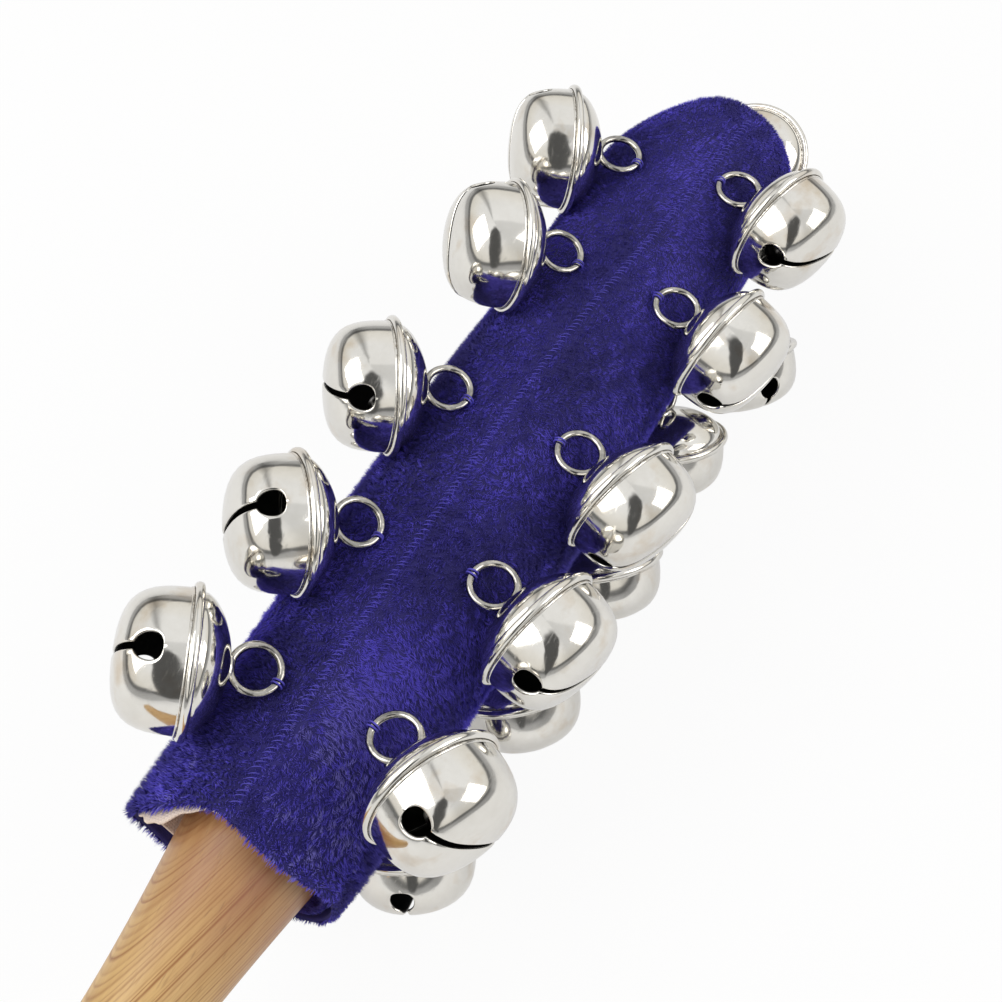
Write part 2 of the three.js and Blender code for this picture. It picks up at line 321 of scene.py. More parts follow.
class SleeveSettings(bpy.types.PropertyGroup):
    """Sizes and colours of the velvet sleeve and its lining"""

    mouth_at: length("Mouth", "Distance of the sleeve's mouth from the end of the grip", 0.1085)
    tip_at: length("Tip", "Distance of the sleeve's closed tip", 0.2945)
    outer: length("Radius", "Radius of the cloth's ground, without the pile", 0.0195)
    cloth: length("Cloth", "Thickness of the velvet's ground", 0.0013)
    lining_outer: length("Lining radius", "Outer radius of the lining", 0.0179)
    lining: length("Lining thickness", "Thickness of the lining", 0.0007)
    lining_setback: length("Lining setback", "How far the lining stays inside the mouth", 0.0016)
    lining_peek: length("Lining edge", "How far the lining's edge is drawn out on one side", 0.0034)
    tip_round: length("Tip rounding", "Rounding at the closed tip", 0.0155)
    mouth_close: length("Drawn-in mouth", "How far the mouth is drawn in", 0.0011)
    mouth_length: length("Mouth length", "Length over which the mouth is drawn in", 0.042)
    wave: length("Hem wave", "Height of the waves round the hem", 0.00035)
    slant: length("Hem slant", "How much further in the hem is cut on one side", 0.0026)
    tip_slant: length("Tip slant", "How much further out the closed tip stands on one side", 0.0020)
    tip_fold: length("Tip fold", "How far the other side of the tip is folded back", 0.0098)
    tip_dome: length("Tip crown", "How far the middle of the closed tip swells out", 0.0030)
    slant_length: length("Tip slant length", "Length over which the tip goes aslant", 0.040)
    turned_in: length("Turned-in hem", "How far the velvet is turned in at the mouth", 0.009)
    pile: length("Pile", "Length of the velvet's pile", 0.00125)
    clump_length: length("Clump length", "Length of the clumps that the pile gathers in", 0.0021)
    clump_columns: IntProperty(
        name="Clumps", description="Number of clumps of pile round the sleeve", default=130, min=8
    )
    blades: IntProperty(name="Blades", description="Number of tufts of pile", default=282000, min=1000)
    # The ground is darker than the pile as painted shade between the tufts.
    ground: colour("Ground", "Cloth at the foot of the pile", (0.026, 0.024, 0.078))
    deep: colour("Deep pile", "Pile that leans away", (0.040, 0.034, 0.200))
    middle: colour("Pile", "Pile at its usual lean", (0.087, 0.071, 0.550))
    bright: colour("Brushed pile", "Pile brushed against its lean", (0.165, 0.130, 0.900))
    dusty: colour("Dusty pile", "Tufts with dust on them", (0.27, 0.245, 0.72))
    backing: colour("Lining colour", "Woven lining", (0.82, 0.68, 0.58))
    thread: colour("Thread", "Sewing thread", (0.075, 0.064, 0.410))


class BellSettings(bpy.types.PropertyGroup):
    """Sizes and colours of the bells"""

    rim: length("Rim", "Radius of the rolled rim", 0.0126)
    rim_height: length("Rim height", "Height of the rolled rim", 0.0018)
    cup: length("Cup", "Radius of the lower cup", 0.0116)
    cup_depth: length("Cup depth", "Depth of the lower cup", 0.0118)
    dome: length("Dome", "Radius of the domed top", 0.0111)
    dome_height: length("Dome height", "Height of the domed top", 0.0054)
    wall: length("Wall", "Thickness of the sheet metal", 0.00065)
    slot: length("Slot", "Width of the sound slot", 0.0017)
    hole: length("Slot holes", "Radius of the holes at the slot's ends", 0.0025)
    hole_depth: length("Hole depth", "Distance of the holes below the rim", 0.0070)
    loop: length("Loop", "Radius of the wire loop", 0.00405)
    wire: length("Wire", "Radius of the loop's wire", 0.00065)
    rim_drop: length("Rim drop", "Distance of the rim below the loop's centre", 0.01035)
    roll_drop: length("Roll point", "Distance of the pellet's turning point below the loop's centre", 0.01235)
    pellet: length("Pellet", "Radius of the loose pellet", 0.0026)
    nickel: colour("Nickel", "Bright plating", (0.775, 0.760, 0.720))
    dulled: colour("Dulled nickel", "Plating that has dulled", (0.63, 0.605, 0.55))
    stain: colour("Stain", "Brownish stains on the plating", (0.56, 0.44, 0.30))
    # Dark stretches on the loops are a painted reflection of the dark velvet.
    wire_dark_reflection: colour("Dark wire", "Darker plating on the loops", (0.19, 0.185, 0.18))
    grime: colour("Grime", "Dirt in the rim's groove", (0.16, 0.12, 0.075))
    steel: colour("Steel", "Loose pellets", (0.36, 0.35, 0.34))


class StageSettings(bpy.types.PropertyGroup):
    """Floor, camera and light"""

    lens: FloatProperty(name="Lens", description="Focal length in millimetres", default=53.89, min=10)
    eye: FloatVectorProperty(
        name="Camera", description="Place of the camera", default=(0.0577, -0.0776, 0.2329), unit="LENGTH"
    )
    aim: FloatVectorProperty(
        name="Aim", description="Point the camera looks at", default=(0.190, -0.0031, 0.0), unit="LENGTH"
    )
    floor_gap: length("Floor gap", "Distance of the floor below the lowest bell", 0.0008)
    floor: colour("Floor", "Plain pale floor", (0.86, 0.86, 0.86))


def smooth(t):
    """The cubic 3t² - 2t³ from 0 to 1."""
    t = np.clip(t, 0, 1)
    return t * t * (3 - 2 * t)


def hump(value, middle, width):
    """A bell curve of height 1 round a middle."""
    return np.exp(-(((value - middle) / width) ** 2))


def bezier(points, steps, last=True):
    """A Bezier curve of any degree through its first and last control point, by repeated halfway mixing."""
    t = np.linspace(0, 1, steps, endpoint=last)[:, None]
    level = [np.asarray(p, float)[None, :] for p in points]
    while len(level) > 1:
        level = [a * (1 - t) + b * t for a, b in zip(level, level[1:])]
    return level[0]


def cloth_waves(seed, count, along, around):
    """A smooth random field over the sleeve: cosines of random phase, each with whole turns round."""
    rng = np.random.default_rng(seed)
    rate = rng.uniform(-along, along, count)
    turns = rng.integers(-around, around + 1, count)
    phase = rng.uniform(0, 2 * np.pi, count)

    def field(x, turn):
        total = np.zeros(np.broadcast(x, turn).shape)
        for k in range(count):
            total = total + np.cos(rate[k] * x + turns[k] * turn + phase[k])
        return total * np.sqrt(2 / count)

    return field


def grid_faces(rows, columns, wrap_rows, wrap_columns):
    """Four-sided faces between neighbouring points of a grid, joined round where it closes on itself."""
    i = np.arange(rows if wrap_rows else rows - 1)[:, None]
    j = np.arange(columns if wrap_columns else columns - 1)[None, :]
    down = (i + 1) % rows
    right = (j + 1) % columns
    corners = [i * columns + j, i * columns + right, down * columns + right, down * columns + j]
    return np.stack(np.broadcast_arrays(*corners), -1).reshape(-1, 4)


def fill_mesh(name, points, faces):
    """Puts whole arrays of points and equal-sided faces into a mesh."""
    mesh = bpy.data.meshes.new(name)
    sides = faces.shape[1]
    mesh.vertices.add(len(points))
    mesh.vertices.foreach_set("co", np.ascontiguousarray(points, np.float32).ravel())
    mesh.loops.add(faces.size)
    mesh.loops.foreach_set("vertex_index", np.ascontiguousarray(faces, np.int32).ravel())
    mesh.polygons.add(len(faces))
    mesh.polygons.foreach_set("loop_start", np.arange(0, faces.size, sides, dtype=np.int32))
    mesh.update(calc_edges=True)
    return mesh


def close_mesh(mesh):
    """Merges the doubled points at seams and poles and turns the faces of the closed body outwards."""
    work = bmesh.new()
    work.from_mesh(mesh)
    bmesh.ops.remove_doubles(work, verts=work.verts, dist=CLOSE)
    bmesh.ops.dissolve_degenerate(work, edges=work.edges, dist=CLOSE)
    if work.calc_volume(signed=True) < 0:
        bmesh.ops.reverse_faces(work, faces=work.faces)
    work.to_mesh(mesh)
    work.free()
    return mesh


def solid(name, points, faces):
    """A closed mesh from arrays of points and faces."""
    return close_mesh(fill_mesh(name, points, faces))


def add_piece(mesh, material, body, replaces=()):
    """Shows a mesh as a smooth piece at the origin that rides on a body."""
    mesh.polygons.foreach_set("use_smooth", np.ones(len(mesh.polygons), dtype=bool))
    mesh.materials.append(material)
    piece = bpy.data.objects.new(mesh.name, mesh)
    bpy.context.scene.collection.objects.link(piece)
    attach(piece, body)
    if replaces:
        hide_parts(*replaces)
    return piece


def point_values(mesh, name, values):
    """Stores one number for each point of a mesh."""
    layer = mesh.attributes.new(name, "FLOAT", "POINT")
    layer.data.foreach_set("value", np.ascontiguousarray(values, np.float32).ravel())


def mesh_points(mesh):
    """The places of all points of a mesh."""
    places = np.empty(len(mesh.vertices) * 3, np.float32)
    mesh.vertices.foreach_get("co", places)
    return places.reshape(-1, 3)


def add_uv(mesh, name, places):
    """Stores one UV place for each corner of a mesh's faces."""
    layer = mesh.uv_layers.new(name=name)
    layer.data.foreach_set("uv", np.ascontiguousarray(places, np.float32).ravel())


def stand(thing, place, target):
    """Stands a camera or a lamp at a place and turns it to a target."""
    thing.location = place
    thing.rotation_euler = (Vector(target) - Vector(place)).to_track_quat("-Z", "Y").to_euler()


def lathe_x(profile, sides):
    """Turns a profile of (radius, distance) about the X axis.

    At each turn the radius times its sine goes to minus Y, and the radius times its cosine to Z.
    """
    turn = np.linspace(0, 2 * np.pi, sides, endpoint=False)
    radius = profile[:, :1]
    x = np.broadcast_to(profile[:, 1:], (len(profile), sides))
    return np.stack([x, -radius * np.sin(turn), radius * np.cos(turn)], -1)


def lathe_z(profile, sides):
    """Turns a profile of (radius, height) about the Z axis."""
    turn = np.linspace(0, 2 * np.pi, sides, endpoint=False)
    radius = profile[:, :1]
    z = np.broadcast_to(profile[:, 1:], (len(profile), sides))
    return np.stack([radius * np.cos(turn), radius * np.sin(turn), z], -1)


def tube(path, across, beside, radius, sides, closed):
    """Carries a circle along a path.

    A point of it is the path's point plus the radius times the cosine and the sine of two side directions.
    """
    turn = np.linspace(0, 2 * np.pi, sides, endpoint=False)[:, None]
    ring = across[:, None, :] * np.cos(turn) + beside[:, None, :] * np.sin(turn)
    points = path[:, None, :] + np.asarray(radius)[..., None, None] * ring
    return points.reshape(-1, 3), grid_faces(len(path), sides, closed, True)


def feed(tree, node, inputs):
    """Sets a node's sockets, and links each that is given another node's output."""
    for key, value in inputs.items():
        if isinstance(value, bpy.types.NodeSocket):
            tree.links.new(value, node.inputs[key])
        else:
            node.inputs[key].default_value = value


def add_node(tree, kind, inputs=None, **settings):
    """Adds a node with its settings and sockets."""
    made = tree.nodes.new(kind)
    for key, value in settings.items():
        setattr(made, key, value)
    feed(tree, made, inputs or {})
    return made


def grey(value):
    """The same value in all three channels."""
    return (value, value, value)


def grey_stops(*stops):
    """Stops of a ramp from pairs of a place and a grey value."""
    return [(place, grey(value)) for place, value in stops]


def ramp(tree, factor, stops):
    """A colour ramp with stops of (place, colour)."""
    made = add_node(tree, "ShaderNodeValToRGB", {"Fac": factor})
    elements = made.color_ramp.elements
    while len(elements) < len(stops):
        elements.new(0.5)
    for element, (place, shade) in zip(elements, stops):
        element.position = place
        element.color = (*shade, 1)
    return made.outputs["Color"]


def calc(tree, operation, a, b=0.0, c=0.0):
    """One step of arithmetic on up to three values."""
    made = add_node(tree, "ShaderNodeMath", {0: a, 1: b, 2: c}, operation=operation)
    return made.outputs[0]


def noise(tree, vector, scale, detail):
    """Fractal noise from 0 to 1."""
    made = add_node(tree, "ShaderNodeTexNoise", {"Vector": vector, "Scale": scale, "Detail": detail})
    return made.outputs["Fac"]


def spread(tree, value, low, high):
    """Stretches the values between two limits from 0 to 1 and cuts off the rest."""
    made = add_node(tree, "ShaderNodeMapRange", {"Value": value, "From Min": low, "From Max": high})
    return made.outputs["Result"]


def stored(tree, name):
    """The number that a mesh keeps for each of its points under a name."""
    return add_node(tree, "ShaderNodeAttribute", attribute_name=name).outputs["Fac"]


def dot(tree, vector, way):
    """How far a vector reaches along a fixed direction."""
    made = add_node(tree, "ShaderNodeVectorMath", {0: vector, 1: tuple(way)}, operation="DOT_PRODUCT")
    return made.outputs["Value"]


def mix_colour(tree, factor, a, b):
    """Mixes two colours by a factor."""
    first, second = [value if isinstance(value, bpy.types.NodeSocket) else (*value, 1) for value in (a, b)]
    made = add_node(tree, "ShaderNodeMix", {0: factor, 6: first, 7: second}, data_type="RGBA")
    return made.outputs[2]


def multiply_colour(tree, a, b):
    """Darkens one colour by another."""
    made = add_node(tree, "ShaderNodeMix", {0: 1.0, 6: a, 7: b}, data_type="RGBA", blend_type="MULTIPLY")
    return made.outputs[2]


def object_place(tree):
    """The place of a point in its own object."""
    return add_node(tree, "ShaderNodeTexCoord").outputs["Object"]


def scaled(tree, vector, scale):
    """Squeezes a pattern by its own amount along each axis."""
    made = add_node(tree, "ShaderNodeMapping", {"Vector": vector, "Scale": scale})
    return made.outputs["Vector"]


def new_group(name, inputs, outputs):
    """A shader node group with named inputs of (name, kind, default) and named outputs."""
    group = bpy.data.node_groups.new(name, "ShaderNodeTree")
    for label, kind, default in inputs:
        socket = group.interface.new_socket(label, in_out="INPUT", socket_type=kind)
        if default is not None:
            socket.default_value = default
    for label, kind in outputs:
        group.interface.new_socket(label, in_out="OUTPUT", socket_type=kind)
    return group, group.nodes.new("NodeGroupInput").outputs, group.nodes.new("NodeGroupOutput").inputs


def mottle_group():
    """Uneven tone over a surface: two sizes of noise, mixed and spread from 0 to 1."""
    if "Mottle" in bpy.data.node_groups:
        return bpy.data.node_groups["Mottle"]
    inputs = [("Vector", "NodeSocketVector", None), ("Scale", "NodeSocketFloat", 60.0)]
    group, given, result = new_group("Mottle", inputs, [("Tone", "NodeSocketFloat")])
    coarse = noise(group, given["Vector"], given["Scale"], 3.0)
    fine = noise(group, given["Vector"], calc(group, "MULTIPLY", given["Scale"], 5.3), 4.0)
    both = calc(group, "MULTIPLY_ADD", fine, 0.35, calc(group, "MULTIPLY", coarse, 0.65))
    group.links.new(spread(group, both, 0.33, 0.67), result["Tone"])
    return group


def scratch_group():
    """Hairline marks: noise drawn out along two slanting directions, kept only at its narrow crests."""
    if "Hairlines" in bpy.data.node_groups:
        return bpy.data.node_groups["Hairlines"]
    inputs = [("Vector", "NodeSocketVector", None), ("Scale", "NodeSocketFloat", 900.0)]
    group, given, result = new_group("Hairlines", inputs, [("Mask", "NodeSocketFloat")])
    drawn_out = (0.06, 1.0, 0.5)
    crests = []
    for turn in ((0.4, 0.9, 0.2), (1.3, 0.2, 1.1)):
        turned = add_node(
            group,
            "ShaderNodeMapping",
            {"Vector": given["Vector"], "Rotation": turn, "Scale": drawn_out},
        )
        lines = noise(group, turned.outputs["Vector"], given["Scale"], 2.0)
        crests.append(spread(group, lines, 0.62, 0.74))
    group.links.new(calc(group, "MAXIMUM", crests[0], crests[1]), result["Mask"])
    return group


def weave_group():
    """Plain weave: warp and weft are sine waves that pass over each other in turn."""
    if "Plain weave" in bpy.data.node_groups:
        return bpy.data.node_groups["Plain weave"]
    inputs = [
        ("Vector", "NodeSocketVector", None),
        ("Warp", "NodeSocketFloat", 400.0),
        ("Weft", "NodeSocketFloat", 400.0),
    ]
    group, given, result = new_group("Plain weave", inputs, [("Height", "NodeSocketFloat")])
    parts = add_node(group, "ShaderNodeSeparateXYZ", {"Vector": given["Vector"]}).outputs
    across = calc(group, "SINE", calc(group, "MULTIPLY", parts["X"], given["Warp"]))
    along = calc(group, "SINE", calc(group, "MULTIPLY", parts["Y"], given["Weft"]))
    over = calc(group, "MULTIPLY", across, along)
    ridges = calc(group, "MAXIMUM", calc(group, "ABSOLUTE", across), calc(group, "ABSOLUTE", along))
    height = calc(group, "MULTIPLY_ADD", over, 0.3, calc(group, "MULTIPLY", ridges, 0.7))
    group.links.new(height, result["Height"])
    return group


def use_group(tree, group, **inputs):
    """Places a node group with its own values."""
    return add_node(tree, "ShaderNodeGroup", inputs, node_tree=group).outputs


def mottle(tree, place, scale):
    """Uneven tone at a scale."""
    return use_group(tree, mottle_group(), Vector=place, Scale=scale)["Tone"]


def hairlines(tree, place, scale):
    """Hairline marks at a scale."""
    return use_group(tree, scratch_group(), Vector=place, Scale=scale)["Mask"]


def weave(tree, threads):
    """Height of a plain weave on the cloth's own map, with as many threads each way."""
    place = add_node(tree, "ShaderNodeUVMap", uv_map="cloth").outputs["UV"]
    return use_group(tree, weave_group(), Vector=place, Warp=threads, Weft=threads)["Height"]


def new_material(name):
    """A material with its node tree and main shader."""
    material = bpy.data.materials.new(name)
    material.use_nodes = True
    tree = material.node_tree
    return material, tree, tree.nodes["Principled BSDF"]


def bump(tree, shader, height, strength, distance):
    """Tilts the shading by a height."""
    sockets = {"Height": height, "Strength": strength, "Distance": distance}
    made = add_node(tree, "ShaderNodeBump", sockets)
    tree.links.new(made.outputs["Normal"], shader.inputs["Normal"])


def growth_rings(handle, tree, place, parts):
    """Share of late wood, and how strong each year is.

    The distance from the pith, less a part of the way along the stick, is bent by noise and cut into years of
    uneven width. Each year darkens towards its end.
    """
    bend = noise(tree, scaled(tree, place, (9, 30, 30)), 1.0, 2.0)
    side = calc(tree, "ADD", parts["Y"], -handle.pith)
    rise = calc(tree, "ADD", parts["Z"], -handle.pith)
    squared = calc(tree, "ADD", calc(tree, "MULTIPLY", side, side), calc(tree, "MULTIPLY", rise, rise))
    distance = calc(tree, "SQRT", squared)
    distance = calc(tree, "MULTIPLY_ADD", parts["X"], -0.20, distance)
    distance = calc(tree, "MULTIPLY_ADD", bend, 0.0030, distance)
    years = add_node(
        tree,
        "ShaderNodeTexNoise",
        {"W": calc(tree, "MULTIPLY", distance, 760.0), "Scale": 1.0, "Detail": 2.0},
        noise_dimensions="1D",
    ).outputs["Fac"]
    distance = calc(tree, "MULTIPLY_ADD", years, 0.0007, distance)
    ring = calc(tree, "FRACT", calc(tree, "DIVIDE", distance, handle.ring_gap))
    late = ramp(
        tree, ring, grey_stops((0.0, 0.60), (0.18, 0.05), (0.55, 0.18), (0.88, 0.85), (1.0, 0.60))
    )
    return late, years


def wood_material(handle):
    """Varnished pale wood: growth rings round a pith beside the stick, fibres and short pores along it."""
    material, tree, shader = new_material("varnished_wood")
    place = object_place(tree)
    parts = add_node(tree, "ShaderNodeSeparateXYZ", {"Vector": place}).outputs
    late, years = growth_rings(handle, tree, place, parts)
    fibre = noise(tree, scaled(tree, place, (45, 1500, 1500)), 1.0, 3.0)
    streak = noise(tree, scaled(tree, place, (14, 260, 260)), 1.0, 3.0)
    pores = noise(tree, scaled(tree, place, (130, 2300, 2300)), 1.0, 1.0)
    tone = mottle(tree, place, 22.0)
    strong = spread(tree, years, 0.36, 0.66)
    late = calc(tree, "MULTIPLY", late, calc(tree, "MULTIPLY_ADD", strong, 0.8, 0.12))
    mixed = calc(tree, "MULTIPLY_ADD", streak, 0.26, calc(tree, "MULTIPLY", late, 0.75))
    mixed = calc(tree, "MULTIPLY_ADD", fibre, 0.28, mixed)
    mixed = calc(tree, "MULTIPLY_ADD", tone, 0.12, mixed)
    late_share = spread(tree, mixed, 0.20, 0.90)
    base = mix_colour(tree, late_share, tuple(handle.early_wood), tuple(handle.late_wood))
    # Painted shade by the mouth: the wood turns darker and redder towards the sleeve, partly a reddish tint
    # and partly the sleeve's shadow painted in.
    mouth = add_node(
        tree,
        "ShaderNodeMapRange",
        {"Value": parts["X"], "From Min": handle.rub_shade_from, "From Max": handle.rub_shade_to},
        interpolation_type="SMOOTHSTEP",
    ).outputs["Result"]
    rub_and_shade = calc(tree, "MULTIPLY", mouth, calc(tree, "MULTIPLY_ADD", streak, 0.9, 0.25))
    base = mix_colour(tree, rub_and_shade, base, tuple(handle.rubbed_shaded_wood))
    pore = spread(tree, pores, 0.64, 0.80)
    pore_share = calc(tree, "MULTIPLY", pore, 0.40)
    pored = mix_colour(tree, pore_share, base, tuple(handle.pore))
    rubbed = hairlines(tree, place, 420.0)
    rough = calc(tree, "MULTIPLY_ADD", tone, 0.10, calc(tree, "MULTIPLY_ADD", rubbed, 0.12, 0.36))
    relief = calc(tree, "MULTIPLY_ADD", pore, -1.0, calc(tree, "MULTIPLY", fibre, 0.5))
    bump(tree, shader, relief, 0.18, 0.0002)
    feed(tree, shader, {"Base Color": pored, "Roughness": rough})
    feed(tree, shader, {"Coat Weight": 0.18, "Coat Roughness": 0.22, "IOR": 1.48})
    return material


def ground_material(sleeve):
    """Woven ground of the velvet, darkened with painted shade between the tufts."""
    material, tree, shader = new_material("velvet_ground")
    height = weave(tree, 9000.0)
    tone = mottle(tree, object_place(tree), 70.0)
    shade = calc(tree, "MULTIPLY_ADD", height, 0.4, calc(tree, "MULTIPLY", tone, 0.6))
    # Painted shade: the ground's colours are darker than the pile's, as shade at the foot of the pile.
    woven = mix_colour(tree, shade, tuple(sleeve.ground), tuple(sleeve.deep))
    rough = calc(tree, "MULTIPLY_ADD", tone, 0.1, 0.82)
    feed(tree, shader, {"Base Color": woven, "Roughness": rough, "Specular IOR Level": 0.1})
    bump(tree, shader, height, 0.3, 0.0002)
    return material


def pile_material(sleeve):
    """Velvet pile: each tuft has painted shade at its foot and takes its tone from the way it has been
    brushed.
    """
    material, tree, shader = new_material("velvet_pile")
    nap = stored(tree, "nap")
    reach = stored(tree, "reach")
    tones = [
        (0.0, tuple(sleeve.deep)),
        (0.45, tuple(sleeve.middle)),
        (0.82, tuple(sleeve.bright)),
        (1.0, tuple(sleeve.dusty)),
    ]
    brushed = ramp(tree, nap, tones)
    # Painted shade: each tuft darkens towards its foot, where the other tufts shade it.
    foot = ramp(tree, reach, grey_stops((0.0, 0.45), (0.6, 0.9), (1.0, 1.0)))
    shaded = multiply_colour(tree, brushed, foot)
    rough = calc(tree, "MULTIPLY_ADD", nap, -0.12, 0.62)
    sheen = {"Sheen Weight": 0.35, "Sheen Roughness": 0.4, "Sheen Tint": (0.28, 0.24, 0.95, 1)}
    feed(tree, shader, {"Base Color": shaded, "Roughness": rough, "Specular IOR Level": 0.18, **sheen})
    return material


def thread_material(sleeve):
    """Twisted sewing thread: fine uneven tones along each strand."""
    material, tree, shader = new_material("sewing_thread")
    place = object_place(tree)
    ply = noise(tree, place, 2600.0, 2.0)
    tone = mottle(tree, place, 140.0)
    shade = calc(tree, "MULTIPLY_ADD", ply, 0.7, calc(tree, "MULTIPLY", tone, 0.3))
    twisted = mix_colour(tree, shade, tuple(sleeve.middle), tuple(sleeve.thread))
    rough = calc(tree, "MULTIPLY_ADD", ply, 0.2, 0.5)
    feed(tree, shader, {"Base Color": twisted, "Roughness": rough})
    bump(tree, shader, ply, 0.4, 0.0001)
    return material


def backing_material(sleeve):
    """Beige woven lining with uneven threads."""
    material, tree, shader = new_material("woven_lining")
    height = weave(tree, 7000.0)
    tone = mottle(tree, object_place(tree), 110.0)
    dark = tuple(c * 0.78 for c in sleeve.backing)
    shade = calc(tree, "MULTIPLY_ADD", tone, 0.3, calc(tree, "MULTIPLY", height, 0.8))
    woven = mix_colour(tree, shade, dark, tuple(sleeve.backing))
    covered = mix_colour(tree, stored(tree, "turned"), woven, tuple(sleeve.deep))
    rough = calc(tree, "MULTIPLY_ADD", height, -0.1, 0.88)
    feed(tree, shader, {"Base Color": covered, "Roughness": rough, "Specular IOR Level": 0.2})
    bump(tree, shader, height, 0.5, 0.0003)
    return material


def nickel_material(bell):
    """Bright plated sheet metal: dulled clouds, stains, hairlines, pressing waves and grime in the groove;
    the cup's inside gets painted shade.
    """
    material, tree, shader = new_material("bright_nickel")
    place = object_place(tree)
    tone = mottle(tree, place, 130.0)
    marks = hairlines(tree, place, 1500.0)
    specks = noise(tree, place, 1400.0, 3.0)
    dirt = spread(tree, calc(tree, "MULTIPLY", stored(tree, "groove"), specks), 0.28, 0.62)
    dull_share = calc(tree, "MULTIPLY", tone, 0.45)
    plating = mix_colour(tree, dull_share, tuple(bell.nickel), tuple(bell.dulled))
    stained = spread(tree, noise(tree, place, 170.0, 5.0), 0.56, 0.76)
    plating = mix_colour(tree, calc(tree, "MULTIPLY", stained, 0.55), plating, tuple(bell.stain))
    dirtied = mix_colour(tree, dirt, plating, tuple(bell.grime))
    # Painted shade: the cup's inside is made near black, as the shade inside the cup.
    inside_shade = stored(tree, "inside")
    plating = mix_colour(tree, inside_shade, dirtied, grey(0.035))
    rough = calc(tree, "MULTIPLY_ADD", inside_shade, 0.5, 0.075)
    rough = calc(tree, "MULTIPLY_ADD", tone, 0.045, rough)
    rough = calc(tree, "MULTIPLY_ADD", marks, 0.10, rough)
    rough = calc(tree, "MULTIPLY_ADD", dirt, 0.35, rough)
    metal = calc(tree, "MULTIPLY_ADD", dirt, -0.6, 1.0)
    feed(tree, shader, {"Base Color": plating, "Roughness": rough, "Metallic": metal})
    waves = noise(tree, place, 210.0, 1.5)
    bump(tree, shader, calc(tree, "MULTIPLY_ADD", marks, -0.02, waves), 0.12, 0.0004)
    return material


def wire_material(bell):
    """Plated wire of the loops: bright stretches and dark ones that are a painted reflection of the dark
    velvet.
    """
    material, tree, shader = new_material("plated_wire")
    place = object_place(tree)
    tone = mottle(tree, place, 240.0)
    marks = hairlines(tree, place, 1800.0)
    # Painted reflection: the loops darken in stretches as if mirroring the dark velvet.
    plating = mix_colour(tree, tone, tuple(bell.dulled), tuple(bell.wire_dark_reflection))
    rough = calc(tree, "MULTIPLY_ADD", marks, 0.12, 0.12)
    feed(tree, shader, {"Base Color": plating, "Roughness": rough, "Metallic": 1.0})
    bump(tree, shader, tone, 0.12, 0.0002)
    return material


def steel_material(bell):
    """Dull steel of the loose pellets."""
    material, tree, shader = new_material("pellet_steel")
    place = object_place(tree)
    tone = mottle(tree, place, 300.0)
    marks = hairlines(tree, place, 2200.0)
    dark = tuple(c * 0.6 for c in bell.steel)
    shaded = mix_colour(tree, tone, tuple(bell.steel), dark)
    rough = calc(tree, "MULTIPLY_ADD", marks, 0.2, 0.3)
    feed(tree, shader, {"Base Color": shaded, "Roughness": rough, "Metallic": 1.0})
    bump(tree, shader, tone, 0.1, 0.0001)
    return material


def floor_material(stage):
    """Pale floor that is nearly white to the camera, half so in reflections, and keeps some shadow."""
    material = bpy.data.materials.new("pale_floor")
    material.use_nodes = True
    tree = material.node_tree
    tree.nodes.clear()
    path = add_node(tree, "ShaderNodeLightPath").outputs
    mirrored = calc(tree, "MAXIMUM", path["Is Glossy Ray"], path["Is Transmission Ray"])
    seen = calc(tree, "MAXIMUM", path["Is Camera Ray"], calc(tree, "MULTIPLY", mirrored, 0.45))
    paint = add_node(tree, "ShaderNodeBsdfDiffuse", {"Color": (*stage.floor, 1)})
    white = add_node(tree, "ShaderNodeEmission", {"Color": (1, 1, 1, 1), "Strength": 1.0})
    mixed = add_node(
        tree,
        "ShaderNodeMixShader",
        {0: calc(tree, "MULTIPLY", seen, 0.92), 1: paint.outputs["BSDF"], 2: white.outputs["Emission"]},
    )
    out = tree.nodes.new("ShaderNodeOutputMaterial")
    tree.links.new(mixed.outputs["Shader"], out.inputs["Surface"])
    return material


def s_curve(from_radius, start, to_radius, end, steps):
    """An S from one radius to another that leaves and arrives along the axis, with handles of a third."""
    third = (end - start) / 3
    ends = [(from_radius, start), (from_radius, start + third), (to_radius, end - third), (to_radius, end)]
    return bezier(ends, steps, False)


def stick_profile(handle):
    """Radius and distance along the stick: a round butt, an S to the neck, an S to the core, a round end."""
    flat = np.column_stack([np.linspace(0, handle.butt_face, 6, endpoint=False), np.zeros(6)])
    corner = [(handle.butt_face, 0), (handle.butt, 0), (handle.butt, handle.swell_at)]
    butt = bezier(corner, 18, False)
    waist = s_curve(handle.butt, handle.swell_at, handle.neck, handle.neck_at, 26)
    cone = s_curve(handle.neck, handle.neck_at, handle.core, handle.core_from, 36)
    rounded = [
        (handle.core, handle.core_end - handle.core_round),
        (handle.core, handle.core_end),
        (handle.core - handle.core_round, handle.core_end),
    ]
    centre = np.array([[0.0, handle.core_end]])
    return np.concatenate([flat, butt, waist, cone, bezier(rounded, 10), centre])


def wrapped(turn):
    """The same turn between minus and plus half a turn."""
    return np.angle(np.exp(1j * turn))


def along_x(shift):
    """A step along the stick for each point."""
    return np.stack([shift, 0 * shift, 0 * shift], -1)


def seam_turn(sleeve, x):
    """Turn of the sewn seam from straight up: it runs straight from the mouth, then drifts to one side."""
    share = (x - sleeve.mouth_at) / (sleeve.tip_at - sleeve.mouth_at)
    return np.radians(SEAM_START + SEAM_DRIFT * smooth((share - SEAM_STRAIGHT) / SEAM_DRIFTING))


def beside_seam(sleeve, x, turn):
    """Distance round the cloth from the seam."""
    return wrapped(turn - seam_turn(sleeve, x)) * sleeve.outer


